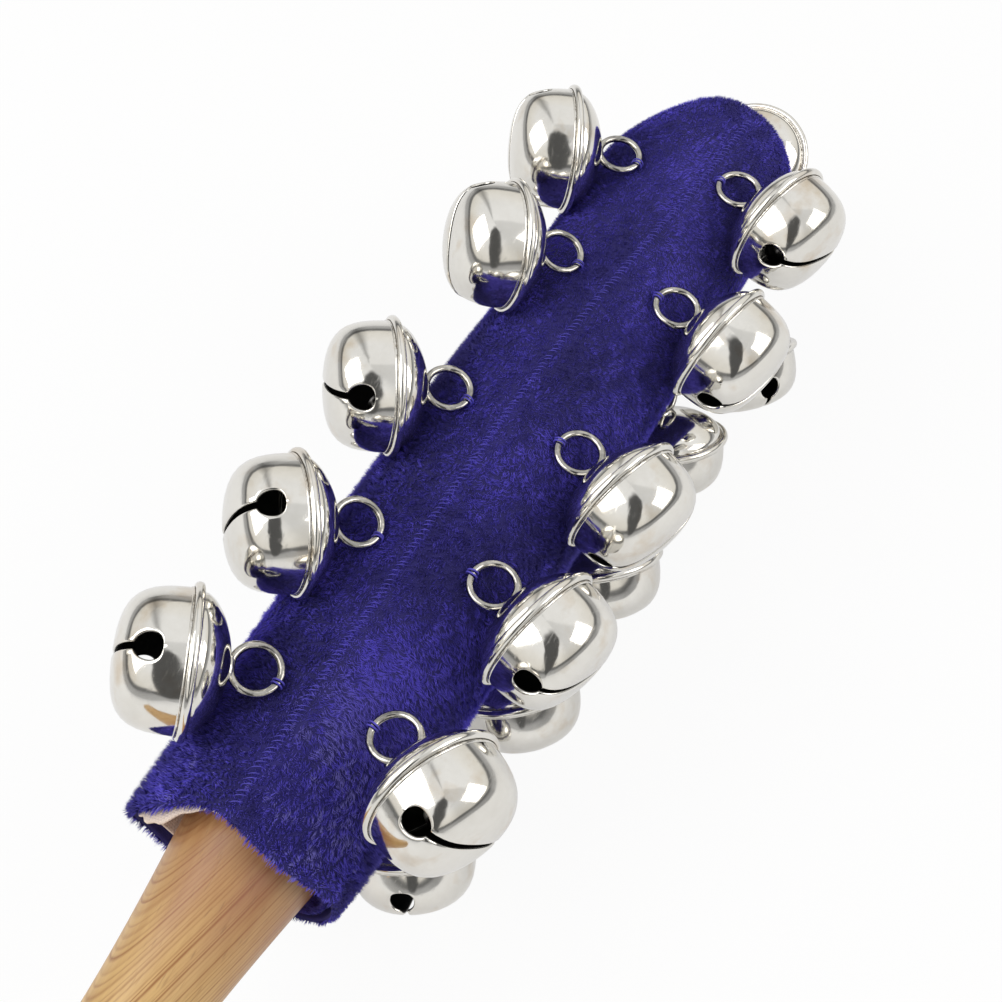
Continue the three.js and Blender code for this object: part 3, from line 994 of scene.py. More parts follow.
def slant_tip(sleeve, points):
    """Shears the closed end, crowns it and folds one side back.

    The distance along moves with the way to the side and with the radius, eased in over the sleeve's end.
    """
    x, y, z = points[..., 0], points[..., 1], points[..., 2]
    share = smooth((x - sleeve.tip_at + sleeve.slant_length) / sleeve.slant_length)
    away = np.hypot(y, z) / sleeve.outer
    upper = smooth((z + CROWN_BELOW) / CROWN_EASE)
    crown = sleeve.tip_dome * share * np.clip(1 - away**2, 0, 1) * upper
    fold = sleeve.tip_fold * smooth((y + FOLD_BESIDE) / FOLD_EASE)
    return points + along_x(crown - share * (sleeve.tip_slant * y / sleeve.outer + fold))


def hem_cut(turn):
    """Extra length of the hem: the same all round, with a bell curve on each side of a notch at the top."""
    total = HEM_LONGER
    for extra, middle, width in HEM_CURVES:
        total = total + extra * hump(turn, middle, width)
    return total


def shape_cloth(sleeve, points, puckers=()):
    """Draws the mouth in with shallow waves and slants the hem.

    The seam is sunk between two ridges, each sewn spot by a bell curve, and the cloth ripples a little.
    """
    x, y, z = points[..., 0], points[..., 1], points[..., 2]
    radius = np.hypot(y, z)
    turn = np.arctan2(-y, z)
    share = 1 - smooth((x - sleeve.mouth_at) / sleeve.mouth_length)
    hem = share * (sleeve.wave * np.cos(HEM_WAVES * turn) - sleeve.mouth_close)
    straight = smooth((sleeve.tip_at - x) / sleeve.tip_round)
    ripple = cloth_waves(*RIPPLE)(x, turn) * RIPPLE_HEIGHT * straight
    aside = beside_seam(sleeve, x, turn)
    sunk = SEAM_DEPTH * hump(aside, 0, SEAM_WIDTH)
    ridge = RIDGE_HEIGHT * hump(np.abs(aside), RIDGE_AT, RIDGE_WIDTH)
    lift = hem + ripple + (ridge - sunk) * straight
    for spot_x, spot_turn in puckers:
        away = np.hypot(x - spot_x, wrapped(turn - spot_turn) * sleeve.outer)
        lift = lift - PUCKER_DEPTH * hump(away, 0, PUCKER_WIDTH)
    grow = 1 + np.where(radius > NEAR_AXIS, lift / np.maximum(radius, NEAR_AXIS), 0)
    slant = share * (sleeve.slant * (1 - y / sleeve.outer) / 2 - hem_cut(turn))
    return slant_tip(sleeve, np.stack([x + slant, y * grow, z * grow], -1))


def peek_out(sleeve, points):
    """Draws the lining's edge out of the mouth on one side.

    The distance along moves by a bell curve of the turn, with a ragged edge, eased in near the mouth.
    """
    turn = np.arctan2(-points[..., 1], points[..., 2])
    window = hump(turn, PEEK_TURN, PEEK_WIDTH)
    ragged = 1
    for height, count, phase in RAGGED:
        ragged = ragged + height * np.cos(count * turn + phase)
    near = 1 - smooth((points[..., 0] - sleeve.mouth_at) / PEEK_EASE)
    return points + along_x(-near * sleeve.lining_peek * window * ragged)


def tube_profile(outer, thickness, mouth, tip, rounding, rows):
    """Closed section of a cloth tube: from the tip's middle to the mouth, round the hem, and back inside."""
    round_from = outer - rounding
    flat = np.column_stack([np.linspace(0, round_from, END_ROWS, endpoint=False), np.full(END_ROWS, tip)])
    bend = bezier([(round_from, tip), (outer, tip), (outer, tip - rounding)], BEND_ROWS, False)
    half = thickness / 2
    lip = mouth + half
    down = np.linspace(tip - rounding, lip, rows, endpoint=False)
    straight = np.column_stack([np.full(rows, outer), down])
    turn = np.linspace(0, np.pi, HEM_ROWS + 1)[:-1]
    hem = np.column_stack([outer - half + half * np.cos(turn), lip - half * np.sin(turn)])
    inner = outer - thickness
    inner_round = rounding - thickness
    inner_tip = tip - thickness
    up = np.linspace(lip, inner_tip - inner_round, rows // 2, endpoint=False)
    back = np.column_stack([np.full(rows // 2, inner), up])
    corner = [(inner, inner_tip - inner_round), (inner, inner_tip), (inner - inner_round, inner_tip)]
    inner_bend = bezier(corner, INNER_BEND_ROWS)
    return np.concatenate([flat, bend, straight, hem, back, inner_bend, [[0.0, inner_tip]]])


def cloth_map(mesh, radius):
    """A UV map in metres for the weave: distance along, and the way round at a radius."""
    places = mesh_points(mesh)
    corners = np.empty(len(mesh.loops), np.int32)
    mesh.loops.foreach_get("vertex_index", corners)
    turn = np.arctan2(-places[:, 1], places[:, 2])
    add_uv(mesh, "cloth", np.column_stack([places[:, 0], turn * radius])[corners])


def mark_turned(sleeve, mesh):
    """Marks what the turned-in velvet covers of the lining: the first stretch to the right and below."""
    x, y, z = mesh_points(mesh).T
    side = smooth((np.cos(np.arctan2(-y, z) - np.radians(TURNED_SIDE)) + TURNED_EDGE) / TURNED_EASE)
    near = 1 - smooth((x - sleeve.mouth_at - TURNED_FROM * sleeve.turned_in) / sleeve.turned_in)
    point_values(mesh, "turned", side * near)


def bell_places():
    """Each bell's hinge, the hinge's axis, the loop's centre, the bell's own axes and the turn of its slot.

    They come from the joints: the hinge lies on the loop, and the pellet turns about the axis of the cup.
    """
    drop = bpy.context.scene.bell_stick_bells.roll_drop
    joints = {joint["name"]: joint for joint in frame["joints"]}
    places = {}
    for row, turns in [*SLOT_TURNS.items(), ("tip", (TIP_SLOT_TURN,))]:
        for index, slot_turn in enumerate(turns):
            name = row if row == "tip" else f"{row}_{index + 1}"
            swing, roll = joints[f"{name}_swing"], joints[f"{name}_roll"]
            hinge = np.array(swing["pos_m"], float)
            axis = np.array(swing["axis"], float)
            up = np.array(roll["axis"], float)
            centre = np.array(roll["pos_m"], float) + up * drop
            out = (centre - hinge) / np.linalg.norm(centre - hinge)
            normal = np.cross(axis, out)
            across = np.cross(normal, up)
            places[name] = (hinge, axis, centre, np.stack([across, normal, up]), np.radians(slot_turn))
    return places


def put(points, centre, axes):
    """Carries points from a bell's own axes to the stick's."""
    return points @ axes + centre


def cup_curve(bell):
    """Radius and height of the cup's outside, from its lowest point to the middle of the rim."""
    lower = 0.2 * bell.cup_depth - bell.cup_depth
    below = -bell.rim_height / 2
    curve = bezier(
        [(0, -bell.cup_depth), (bell.cup * 0.80, -bell.cup_depth), (bell.cup, lower), (bell.cup, below)], 400
    )
    return np.concatenate([curve, [[bell.cup, 0.0]]])


def cup_polar(curve):
    """The same curve as an angle from straight down and a distance from the middle of the rim."""
    return np.arctan2(curve[:, 0], -curve[:, 1]), np.hypot(curve[:, 0], curve[:, 1])


def cup_surface(bell):
    """Lower cup with a keyhole slot.

    A direction is given by an angle along the slot and one across it, and its distance by the cup's curve.
    Each half runs from the rim to the edge of the slot, over the edge and back up the inner wall. The edge
    follows half the slot's width, and a circle at each end, and it closes to nothing past the holes.
    """
    slot_points = 9
    hole_points = 17
    end_points = 8
    wall_rows = 16
    edge_rows = 4
    curve = cup_curve(bell)
    lean, reach = cup_polar(curve)
    hole_lean = np.interp(-bell.hole_depth, curve[:, 1], lean)
    hole_reach = np.interp(hole_lean, lean, reach)
    half = bell.slot / 2
    entry = np.arcsin(half / bell.hole)
    swept = np.linspace(entry, np.pi, hole_points)
    slot_end = hole_lean - bell.hole * np.cos(entry) / hole_reach
    hole_end = hole_lean + bell.hole / hole_reach
    side = np.concatenate(
        [
            np.linspace(0, slot_end, slot_points, endpoint=False),
            hole_lean - bell.hole * np.cos(swept) / hole_reach,
            np.linspace(hole_end, np.pi / 2, end_points + 1)[1:],
        ]
    )
    open_by = np.concatenate([np.full(slot_points, half), bell.hole * np.sin(swept), np.zeros(end_points)])
    open_by[slot_points + hole_points - 1] = 0
    along = np.concatenate([-side[:0:-1], side])
    gap = np.concatenate([open_by[:0:-1], open_by])
    across = np.maximum(np.cos(along), 1e-9) * np.interp(np.abs(along), lean, reach)
    start = np.where(gap > 0, np.arcsin(np.clip(gap / across, 0, 1)), 0)
    steps = np.linspace(1, 0, wall_rows) ** 1.15
    angle = start + (np.pi / 2 - start) * steps[:, None]

    def at(angle, inset, curl):
        """Points at angles across the slot, set inside the curve and drawn over the slot by a curl."""
        toward = np.stack(
            [
                np.broadcast_to(np.sin(along), angle.shape),
                np.cos(along) * np.sin(angle),
                -np.cos(along) * np.cos(angle),
            ],
            -1,
        )
        tilt = np.arccos(np.clip(np.cos(along) * np.cos(angle), -1, 1))
        distance = np.interp(tilt, lean, reach) - inset
        over = np.stack([np.zeros(angle.shape), np.cos(angle), np.sin(angle)], -1)
        return toward * distance[..., None] - over * curl[..., None]

    flush = np.zeros(angle.shape)
    outside = at(angle, flush, flush)
    bow = np.linspace(0, np.pi, edge_rows + 2)[1:-1, None]
    half_wall = bell.wall / 2
    opened = (gap > 0)[None, :]
    edge_angle = np.broadcast_to(start, (edge_rows, len(along)))
    edge = at(edge_angle, half_wall * (1 - np.cos(bow)) + 0 * edge_angle, half_wall * np.sin(bow) * opened)
    inside = at(angle[::-1], np.full(angle.shape, bell.wall), flush)
    sheet = np.concatenate([outside, edge, inside])
    rows = len(sheet)
    faces = grid_faces(rows, len(along), True, False)
    row = np.repeat(np.arange(rows), len(along) - 1)
    column = np.tile(np.arange(len(along) - 1), rows)
    first = len(outside) - 1
    last = len(outside) + edge_rows
    shut = (gap[column] == 0) & (gap[column + 1] == 0)
    faces = faces[~((row >= first) & (row < last) & shut)]
    points = sheet.reshape(-1, 3)
    mirrored = points * np.array([1, -1, 1])
    both = np.concatenate([points, mirrored])
    return both, np.concatenate([faces, faces[:, ::-1] + len(points)])


def crown_profile(bell):
    """Closed section of the top: dome, groove, rolled rim, the rim's underside and the dome's inner wall."""
    top = bell.rim_height / 2
    roll = bell.rim_height * 0.36
    dome = bezier(
        [
            (0, top + bell.dome_height),
            (bell.dome * 0.58, top + bell.dome_height),
            (bell.dome, top + bell.dome_height * 0.34),
            (bell.dome, top),
        ],
        22,
        False,
    )
    groove = bezier(
        [
            (bell.dome, top),
            (bell.dome + 0.00008, top - 0.00055),
            (bell.dome + 0.0004, top - 0.0003),
            (bell.rim - roll * 1.3, top - 0.0001),
        ],
        7,
        False,
    )
    turn = np.linspace(np.pi * 0.5, -np.pi * 0.5, 11)
    lip_height = bell.rim_height * 0.42
    lip = np.column_stack([bell.rim - roll + roll * np.cos(turn), lip_height * np.sin(turn)])
    under = bezier(
        [
            (bell.rim - roll * 1.4, -lip_height * 1.05),
            (bell.cup + 0.0002, -lip_height * 0.9),
            (bell.cup + 0.00006, -lip_height * 1.6),
        ],
        5,
    )
    wall = bell.wall
    inner = bezier(
        [
            (bell.cup - wall * 1.1, -0.0002),
            (bell.dome - wall, top * 0.6),
            (bell.dome * 0.93 - wall, top + bell.dome_height * 0.36 - wall),
            (bell.dome * 0.56, top + bell.dome_height - wall),
            (0, top + bell.dome_height - wall),
        ],
        16,
    )
    closing = np.array([[bell.cup - wall * 0.6, -lip_height * 1.6]])
    return np.concatenate([dome, groove, lip, under, closing, inner])


def crown_surface(bell, rng):
    """Turns the top's section about the bell's axis, with a rim that is a little uneven all round."""
    profile = crown_profile(bell)
    points = lathe_z(profile, CROWN_SIDES)
    turn = np.linspace(0, 2 * np.pi, CROWN_SIDES, endpoint=False)
    uneven = np.zeros(CROWN_SIDES)
    for count in RIM_WAVES:
        wave = np.cos(count * turn + rng.uniform(0, 2 * np.pi))
        uneven = uneven + wave * rng.uniform(0.4, 1.0) / count**0.5
    weight = smooth((profile[:, 0] - bell.dome) / (bell.rim - bell.dome))
    points[..., 2] += weight[:, None] * uneven * RIM_RISE
    points[..., :2] *= 1 + (weight[:, None] * uneven * RIM_BULGE / bell.rim)[..., None]
    return points.reshape(-1, 3), grid_faces(len(profile), CROWN_SIDES, False, True)


def loop_surface(bell):
    """Wire loop: a circle carried round a ring in the bell's middle plane, flat where it meets the top."""
    steps = 56
    sides = 14
    turn = np.linspace(0, 2 * np.pi, steps, endpoint=False)
    zero = np.zeros(steps)
    around = np.column_stack([np.sin(turn), zero, np.cos(turn)])
    path = around * bell.loop
    path[:, 2] = np.maximum(path[:, 2], -bell.loop + LOOP_FLAT)
    beside = np.column_stack([zero, zero + 1, zero])
    return tube(path, around, beside, bell.wire, sides, True)


def foot_surface(bell):
    """Flat staple where the loop enters the top: a low turned button, stretched along the loop's plane."""
    profile = np.array(FOOT_PROFILE)
    points = lathe_z(profile, FOOT_SIDES).reshape(-1, 3)
    points = points * np.array(FOOT_STRETCH)
    points[:, 2] += -bell.loop - bell.wire + FOOT_RISE
    return points, grid_faces(len(profile), FOOT_SIDES, False, True)


def tuft_roots(sleeve, rng):
    """Even random places over the sleeve's outside, in step with its girth, and some on the turned-in hem."""
    profile = tube_profile(
        sleeve.outer, sleeve.cloth, sleeve.mouth_at, sleeve.tip_at, sleeve.tip_round, PILE_ROWS
    )
    outside = profile[: END_ROWS + BEND_ROWS + PILE_ROWS + PILE_HEM_ROWS]
    path = np.concatenate([[0], np.cumsum(np.hypot(*np.diff(outside, axis=0).T))])
    wanted = sleeve.blades
    tries = int(wanted * 1.25)
    place = rng.uniform(0, path[-1], tries)
    girth = np.interp(place, path, outside[:, 0])
    kept = np.flatnonzero(rng.uniform(0, 1, tries) * sleeve.outer < girth)[:wanted]
    place = np.sort(place[kept])
    radius, x = [np.interp(place, path, way) for way in outside.T]
    after, before = place + SLOPE_STEP, place - SLOPE_STEP
    slope_r, slope_x = [np.interp(after, path, way) - np.interp(before, path, way) for way in outside.T]
    turn = rng.uniform(0, 2 * np.pi, len(place))
    inner = wanted // TURNED_PART
    inner_x = sleeve.mouth_at + sleeve.turned_in * rng.uniform(0.05, 1, inner)
    inner_radius = np.full(inner, sleeve.lining_outer - sleeve.lining)
    ends = (TURNED_SIDE - TURNED_REACH, TURNED_SIDE, TURNED_SIDE + TURNED_REACH)
    inner_turn = np.radians(rng.triangular(*ends, inner))
    pairs = [
        (x, inner_x),
        (radius, inner_radius),
        (turn, inner_turn),
        (slope_x, np.ones(inner)),
        (slope_r, np.zeros(inner)),
        (place / path[-1], np.full(inner, 0.95)),
    ]
    return [np.concatenate(pair) for pair in pairs]


def pile_clumps(sleeve, x, turn):
    """Values that neighbouring tufts share, and each tuft's way to the middle of its clump.

    The cloth is cut into cells, longer than they are wide, with edges that wander. Each column of cells is
    shifted along by its own amount, and each cell has three random values.
    """
    rng = np.random.default_rng(31)
    columns = sleeve.clump_columns
    wander_round, wander_along = CLUMP_WANDER
    shift = rng.uniform(0, 1, columns)
    values = rng.normal(0, 1, (CLUMP_ROWS, columns, 3))
    wander = cloth_waves(*WANDER)(x, turn)
    column_at = (turn % (2 * np.pi)) * columns / (2 * np.pi) + wander_round * wander
    column = np.floor(column_at).astype(int) % columns
    row_at = (x - sleeve.mouth_at) / sleeve.clump_length + shift[column] + wander_along * wander
    row = np.floor(row_at).astype(int)
    ahead = (row + 0.5 - row_at) * sleeve.clump_length
    aside = (0.5 - column_at % 1) * 2 * np.pi * sleeve.outer / columns
    return values[row % CLUMP_ROWS, column].T, ahead, aside


def pile_arrays(sleeve, puckers):
    """Velvet tufts: three-sided spikes on the cloth, and a tone for each.

    They lean along the cloth in a direction and by an amount that wander. At the seam they lean into it, and
    the hem's tufts stand up. Near the mouth they are longer, paler and dusty in places.
    """
    rng = np.random.default_rng(11)
    x, radius, turn, slope_x, slope_r, share = tuft_roots(sleeve, rng)
    count = len(x)
    outward_turn = np.stack([np.zeros(count), -np.sin(turn), np.cos(turn)], -1)
    around = np.stack([np.zeros(count), -np.cos(turn), -np.sin(turn)], -1)
    run = np.hypot(slope_x, slope_r)
    normal = outward_turn * (-slope_x / run)[:, None]
    normal[:, 0] += slope_r / run
    root = outward_turn * radius[:, None]
    root[:, 0] += x
    root = shape_cloth(sleeve, root, puckers) - normal * ROOT_DEPTH
    along = np.cross(around, normal)
    brushed = cloth_waves(*BRUSHED)(x, turn)
    swirl = cloth_waves(*SWIRL)(x, turn)
    fine = cloth_waves(*FINE)(x, turn)
    aside = beside_seam(sleeve, x, turn)
    seam = hump(aside, 0, PARTING_WIDTH) * smooth((sleeve.tip_at - x) / PARTING_EASE)
    shared, ahead, beside = pile_clumps(sleeve, x, turn)
    usual, wide, clump, single = PILE_HEADING
    heading = usual + wide * swirl + clump * shared[0] + rng.normal(0, single, count)
    usual, wide, clump, single = PILE_TILT
    tilt = np.radians(usual + wide * brushed + clump * shared[1] + rng.normal(0, single, count))
    tilt = np.clip(tilt, *TILT_LIMITS)
    hem = smooth((share - HEM_FROM) / HEM_SHARE)
    tilt = tilt * (1 - HEM_UPRIGHT * hem)
    lean = along * np.cos(heading)[:, None] + around * np.sin(heading)[:, None]
    lean = lean * (1 - seam[:, None]) + around * (-np.sign(aside) * seam)[:, None]
    size = sleeve.pile * (TUFT_LEAST + TUFT_RANGE * rng.uniform(0, 1, count))
    size = size * (1 - SEAM_SHORTER * seam) * (1 - HEM_SHORTER * hem)
    size = size * (1 - FAR_SHORTER * smooth((x - sleeve.mouth_at - FAR_FROM) / FAR_EASE))
    size = size * (1 - TURNED_SHORTER * hem * smooth(np.cos(turn - np.radians(TURNED_SIDE)) + 0.2))
    way = normal * np.cos(tilt)[:, None] + lean * np.sin(tilt)[:, None]
    gathered = CLUMP_GATHER * smooth((sleeve.tip_at - x) / sleeve.tip_round)
    tip = root + way * size[:, None] + around * (gathered * beside)[:, None]
    tip[:, 0] += gathered * ahead
    side = np.cross(way, normal + 0.01)
    side = side / np.linalg.norm(side, axis=1)[:, None]
    other = np.cross(way, side)
    thick = (rng.uniform(*TUFT_RADIUS, count) * (1 + 0.4 * hem))[:, None]
    corners = [side, side * -0.5 + other * 0.87, side * -0.5 - other * 0.87]
    points = np.stack([root + c * thick for c in corners] + [tip], 1)
    near = 1 - smooth((x - sleeve.mouth_at - MOUTH_STRETCH) / MOUTH_EASE)
    usual, wide, small, clump, single = PILE_TONE
    nap = usual + wide * brushed + small * fine + clump * shared[2] + rng.normal(0, single, count)
    nap = nap + SEAM_PALER * seam
    dusty = rng.uniform(0, 1, count) > DUST_RARE
    nap = nap + near * (MOUTH_PALER + DUST_PALER * dusty)
    nap = np.minimum(nap, PALEST + PALEST_MOUTH * near)
    return points, np.clip(nap, *TONE_LIMITS)


def add_pile(sleeve, puckers, material):
    """Splits the tufts from the tip to the mouth into pieces that stay small enough to print and to bake."""
    points, nap = pile_arrays(sleeve, puckers)
    spike = np.array([(0, 1, 3), (1, 2, 3), (2, 0, 3), (0, 2, 1)])
    pieces = []
    for index, part in enumerate(np.array_split(np.arange(len(points)), PILE_PIECES)):
        count = len(part)
        faces = (np.arange(count)[:, None, None] * 4 + spike).reshape(-1, 3)
        mesh = fill_mesh(f"velvet_pile_{index + 1}", points[part].reshape(-1, 3), faces)
        reach = np.tile([0.0, 0.0, 0.0, 1.0], count)
        tone = np.repeat(nap[part], 4)
        point_values(mesh, "nap", tone)
        point_values(mesh, "reach", reach)
        across = tone + np.tile([-0.004, 0.004, 0.0, 0.0], count)
        add_uv(mesh, "OFBake", np.column_stack([across, 0.02 + 0.96 * reach])[faces.ravel()])
        pieces.append(add_piece(mesh, material, STICK_BODY))
    return pieces


def join_surfaces(parts):
    """Joins pairs of points and faces into one pair."""
    counts = [len(points) for points, _ in parts]
    starts = np.cumsum([0, *counts[:-1]])
    faces = [sides + start for (_, sides), start in zip(parts, starts)]
    return np.concatenate([points for points, _ in parts]), np.concatenate(faces)


def stitch_arrays(sleeve):
    """Seam stitches: short arched strands across the seam at a slant, thin at both ends, evenly apart."""
    rng = np.random.default_rng(9)
    stops = np.arange(sleeve.mouth_at + STITCH_START, sleeve.tip_at - STITCH_END, STITCH_GAP)
    stops = stops + rng.normal(0, STITCH_UNEVEN, len(stops))
    t = np.linspace(-1, 1, 9)
    wide = STITCH_RADIUS * np.sqrt(1 - t**2)
    middle = seam_turn(sleeve, stops) + rng.normal(0, STITCH_WANDER, len(stops))
    x = stops[:, None] + STITCH_SLANT * t
    turn = middle[:, None] + t * STITCH_HALF / sleeve.outer
    radius = sleeve.outer + STITCH_ARCH * (1 - t**2) - STITCH_DEPTH
    path = np.stack([x, -radius * np.sin(turn), radius * np.cos(turn)], -1)
    strands = []
    for strand in path:
        run = np.gradient(strand, axis=0)
        run = run / np.linalg.norm(run, axis=1)[:, None]
        out = strand * np.array([0, 1, 1])
        out = out / np.linalg.norm(out, axis=1)[:, None]
        strands.append(tube(strand, out, np.cross(run, out), wide, 6, False))
    return join_surfaces(strands)


def tie_arrays(places):
    """Thread round each bell's loop: two thin rings about the hinge, each turned and shifted a little."""
    rng = np.random.default_rng(7)
    steps = 22
    turn = np.linspace(0, 2 * np.pi, steps, endpoint=False)[:, None]
    rings = []
    for hinge, axis, *_ in places.values():
        up = np.array([1.0, 0, 0]) if abs(axis[1]) > 0.9 else np.array([0, hinge[1], hinge[2]])
        up = up / np.linalg.norm(up)
        side = np.cross(axis, up)
        for shift in (-TIE_SHIFT, TIE_SHIFT):
            lean_side, lean_up = [rng.normal(0, tilt) for tilt in TIE_TILT]
            lie = axis + side * lean_side + up * lean_up
            lie = lie / np.linalg.norm(lie)
            first = np.cross(side, lie)
            first = first / np.linalg.norm(first)
            second = np.cross(lie, first)
            spoke = first * np.cos(turn) + second * np.sin(turn)
            path = hinge + lie * shift + spoke * (TIE_RADIUS + rng.uniform(0, TIE_RANGE))
            rings.append(tube(path, spoke, np.broadcast_to(lie, spoke.shape), TIE_THICK, 7, True))
    return join_surfaces(rings)


class BELLSTICK_OT_handle(bpy.types.Operator):
    """Build the turned wooden stick"""

    bl_idname = "bellstick.handle"
    bl_label = "Turned Handle"

    def execute(self, context):
        handle = context.scene.bell_stick_handle
        profile = stick_profile(handle)
        points = slant_tip(context.scene.bell_stick_sleeve, lathe_x(profile, STICK_SIDES))
        points[..., 1] -= handle.beside * (1 - smooth((points[..., 0] - SHIFT_FROM) / SHIFT_EASE))
        faces = grid_faces(len(profile), STICK_SIDES, False, True)
        mesh = solid("turned_stick", points.reshape(-1, 3), faces)
        add_piece(mesh, wood_material(handle), STICK_BODY, ["wooden_stick"])
        return {"FINISHED"}


class BELLSTICK_OT_sleeve(bpy.types.Operator):
    """Build the velvet sleeve with its pile, lining, seam and the threads that hold the bells"""

    bl_idname = "bellstick.sleeve"
    bl_label = "Velvet Sleeve"

    def execute(self, context):
        sleeve = context.scene.bell_stick_sleeve
        places = bell_places()
        hinges = [place[0] for name, place in places.items() if name != "tip"]
        puckers = [(x, np.arctan2(-y, z)) for x, y, z in hinges]
        thread = thread_material(sleeve)
        lining = self.tube_piece(
            "sleeve_backing",
            sleeve,
            (sleeve.lining_outer, sleeve.lining, sleeve.mouth_at + sleeve.lining_setback),
            (sleeve.tip_at - sleeve.cloth - LINING_GAP, sleeve.tip_round - sleeve.cloth),
            backing_material(sleeve),
            ("backing", "sleeve_lining"),
        )
        ground = self.tube_piece(
            "velvet_cloth",
            sleeve,
            (sleeve.outer, sleeve.cloth, sleeve.mouth_at),
            (sleeve.tip_at, sleeve.tip_round),
            ground_material(sleeve),
            ("velvet", "velvet_sleeve"),
            puckers,
        )
        pieces = add_pile(sleeve, puckers, pile_material(sleeve))
        stitches = solid("seam_stitches", *stitch_arrays(sleeve))
        pieces.append(add_piece(stitches, thread, STICK_BODY))
        ties = solid("bell_threads", *tie_arrays(places))
        pieces.append(add_piece(ties, thread, STICK_BODY))
        return {"FINISHED"}

    def tube_piece(self, name, sleeve, wall, end, material, stands_for, puckers=()):
        """A cloth tube; the one without sewn spots is the lining, whose edge peeks out."""
        profile = tube_profile(*wall, *end, CLOTH_ROWS)
        points = shape_cloth(sleeve, lathe_x(profile, CLOTH_SIDES), puckers)
        if not puckers:
            points = peek_out(sleeve, points)
        mesh = solid(name, points.reshape(-1, 3), grid_faces(len(profile), CLOTH_SIDES, False, True))
        cloth_map(mesh, wall[0])
        if not puckers:
            mark_turned(sleeve, mesh)
        slot, node = stands_for
        return add_piece(mesh, material, STICK_BODY, [node])


class BELLSTICK_OT_bells(bpy.types.Operator):
    """Build every bell: slotted lower cup, domed top with its rolled rim, wire loop and loose pellet"""

    bl_idname = "bellstick.bells"
    bl_label = "Crotal Bells"

    def execute(self, context):
        bell = context.scene.bell_stick_bells
        nickel = nickel_material(bell)
        wire = wire_material(bell)
        steel = steel_material(bell)
        rng = np.random.default_rng(3)
        cup, cup_faces = cup_surface(bell)
        loop, loop_faces = loop_surface(bell)
        foot, foot_faces = foot_surface(bell)
        rim = np.array([0, 0, -bell.rim_drop])
        for name, (_, _, centre, axes, slot_turn) in bell_places().items():
            body = f"bell_{name}"
            cos, sin = np.cos(slot_turn), np.sin(slot_turn)
            spin = np.array([[cos, sin, 0], [-sin, cos, 0], [0, 0, 1]])
            mesh = solid(f"cup_{name}", put(cup @ spin + rim, centre, axes), cup_faces)
            self.mark_groove(mesh, centre, axes, bell)
            add_piece(mesh, nickel, body, [f"bell_{name}"])
            crown, crown_faces = crown_surface(bell, rng)
            mesh = solid(f"crown_{name}", put(crown + rim, centre, axes), crown_faces)
            self.mark_groove(mesh, centre, axes, bell)
            add_piece(mesh, nickel, body)
            mesh = solid(f"loop_{name}", put(loop, centre, axes), loop_faces)
            add_piece(mesh, wire, body)
            mesh = solid(f"loop_foot_{name}", put(foot, centre, axes), foot_faces)
            add_piece(mesh, nickel, body)
            low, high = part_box(f"pellet_{name}")
            self.add_pellet(name, (np.array(low) + np.array(high)) / 2, bell.pellet, steel)
        return {"FINISHED"}

    def mark_groove(self, mesh, centre, axes, bell):
        """Marks the grooves above and below the rim by bell curves, and the cup's inside by its depth, where
        the metal gets painted shade.
        """
        wide, tall = 0.0003, 0.0004
        local = (mesh_points(mesh) - centre) @ axes.T
        height = local[:, 2] + bell.rim_drop
        radius = np.hypot(local[:, 0], local[:, 1])
        above = np.exp(-(((radius - bell.dome - 0.0001) / wide) ** 2 + ((height - 0.0006) / tall) ** 2))
        below = np.exp(-(((radius - bell.cup) / wide) ** 2 + ((height + 0.0008) / tall) ** 2))
        point_values(mesh, "groove", np.maximum(above, below))
        lean, reach = cup_polar(cup_curve(bell))
        outside = np.interp(np.arctan2(radius, -height), lean, reach)
        # The inside mark carries painted shade: the metal turns near black there.
        sunk = np.where(height < 0, outside - np.hypot(radius, height), 0)
        point_values(mesh, "inside", smooth((sunk / bell.wall - 0.3) / 0.5))

    def add_pellet(self, name, middle, radius, material):
        """A ball: a half circle turned about a standing axis."""
        lean = np.linspace(0, np.pi, 13)
        profile = np.column_stack([radius * np.sin(lean), radius * np.cos(lean)])
        points = lathe_z(profile, PELLET_SIDES).reshape(-1, 3) + middle
        mesh = solid(f"shot_{name}", points, grid_faces(len(profile), PELLET_SIDES, False, True))
        add_piece(mesh, material, f"pellet_{name}", [f"pellet_{name}"])


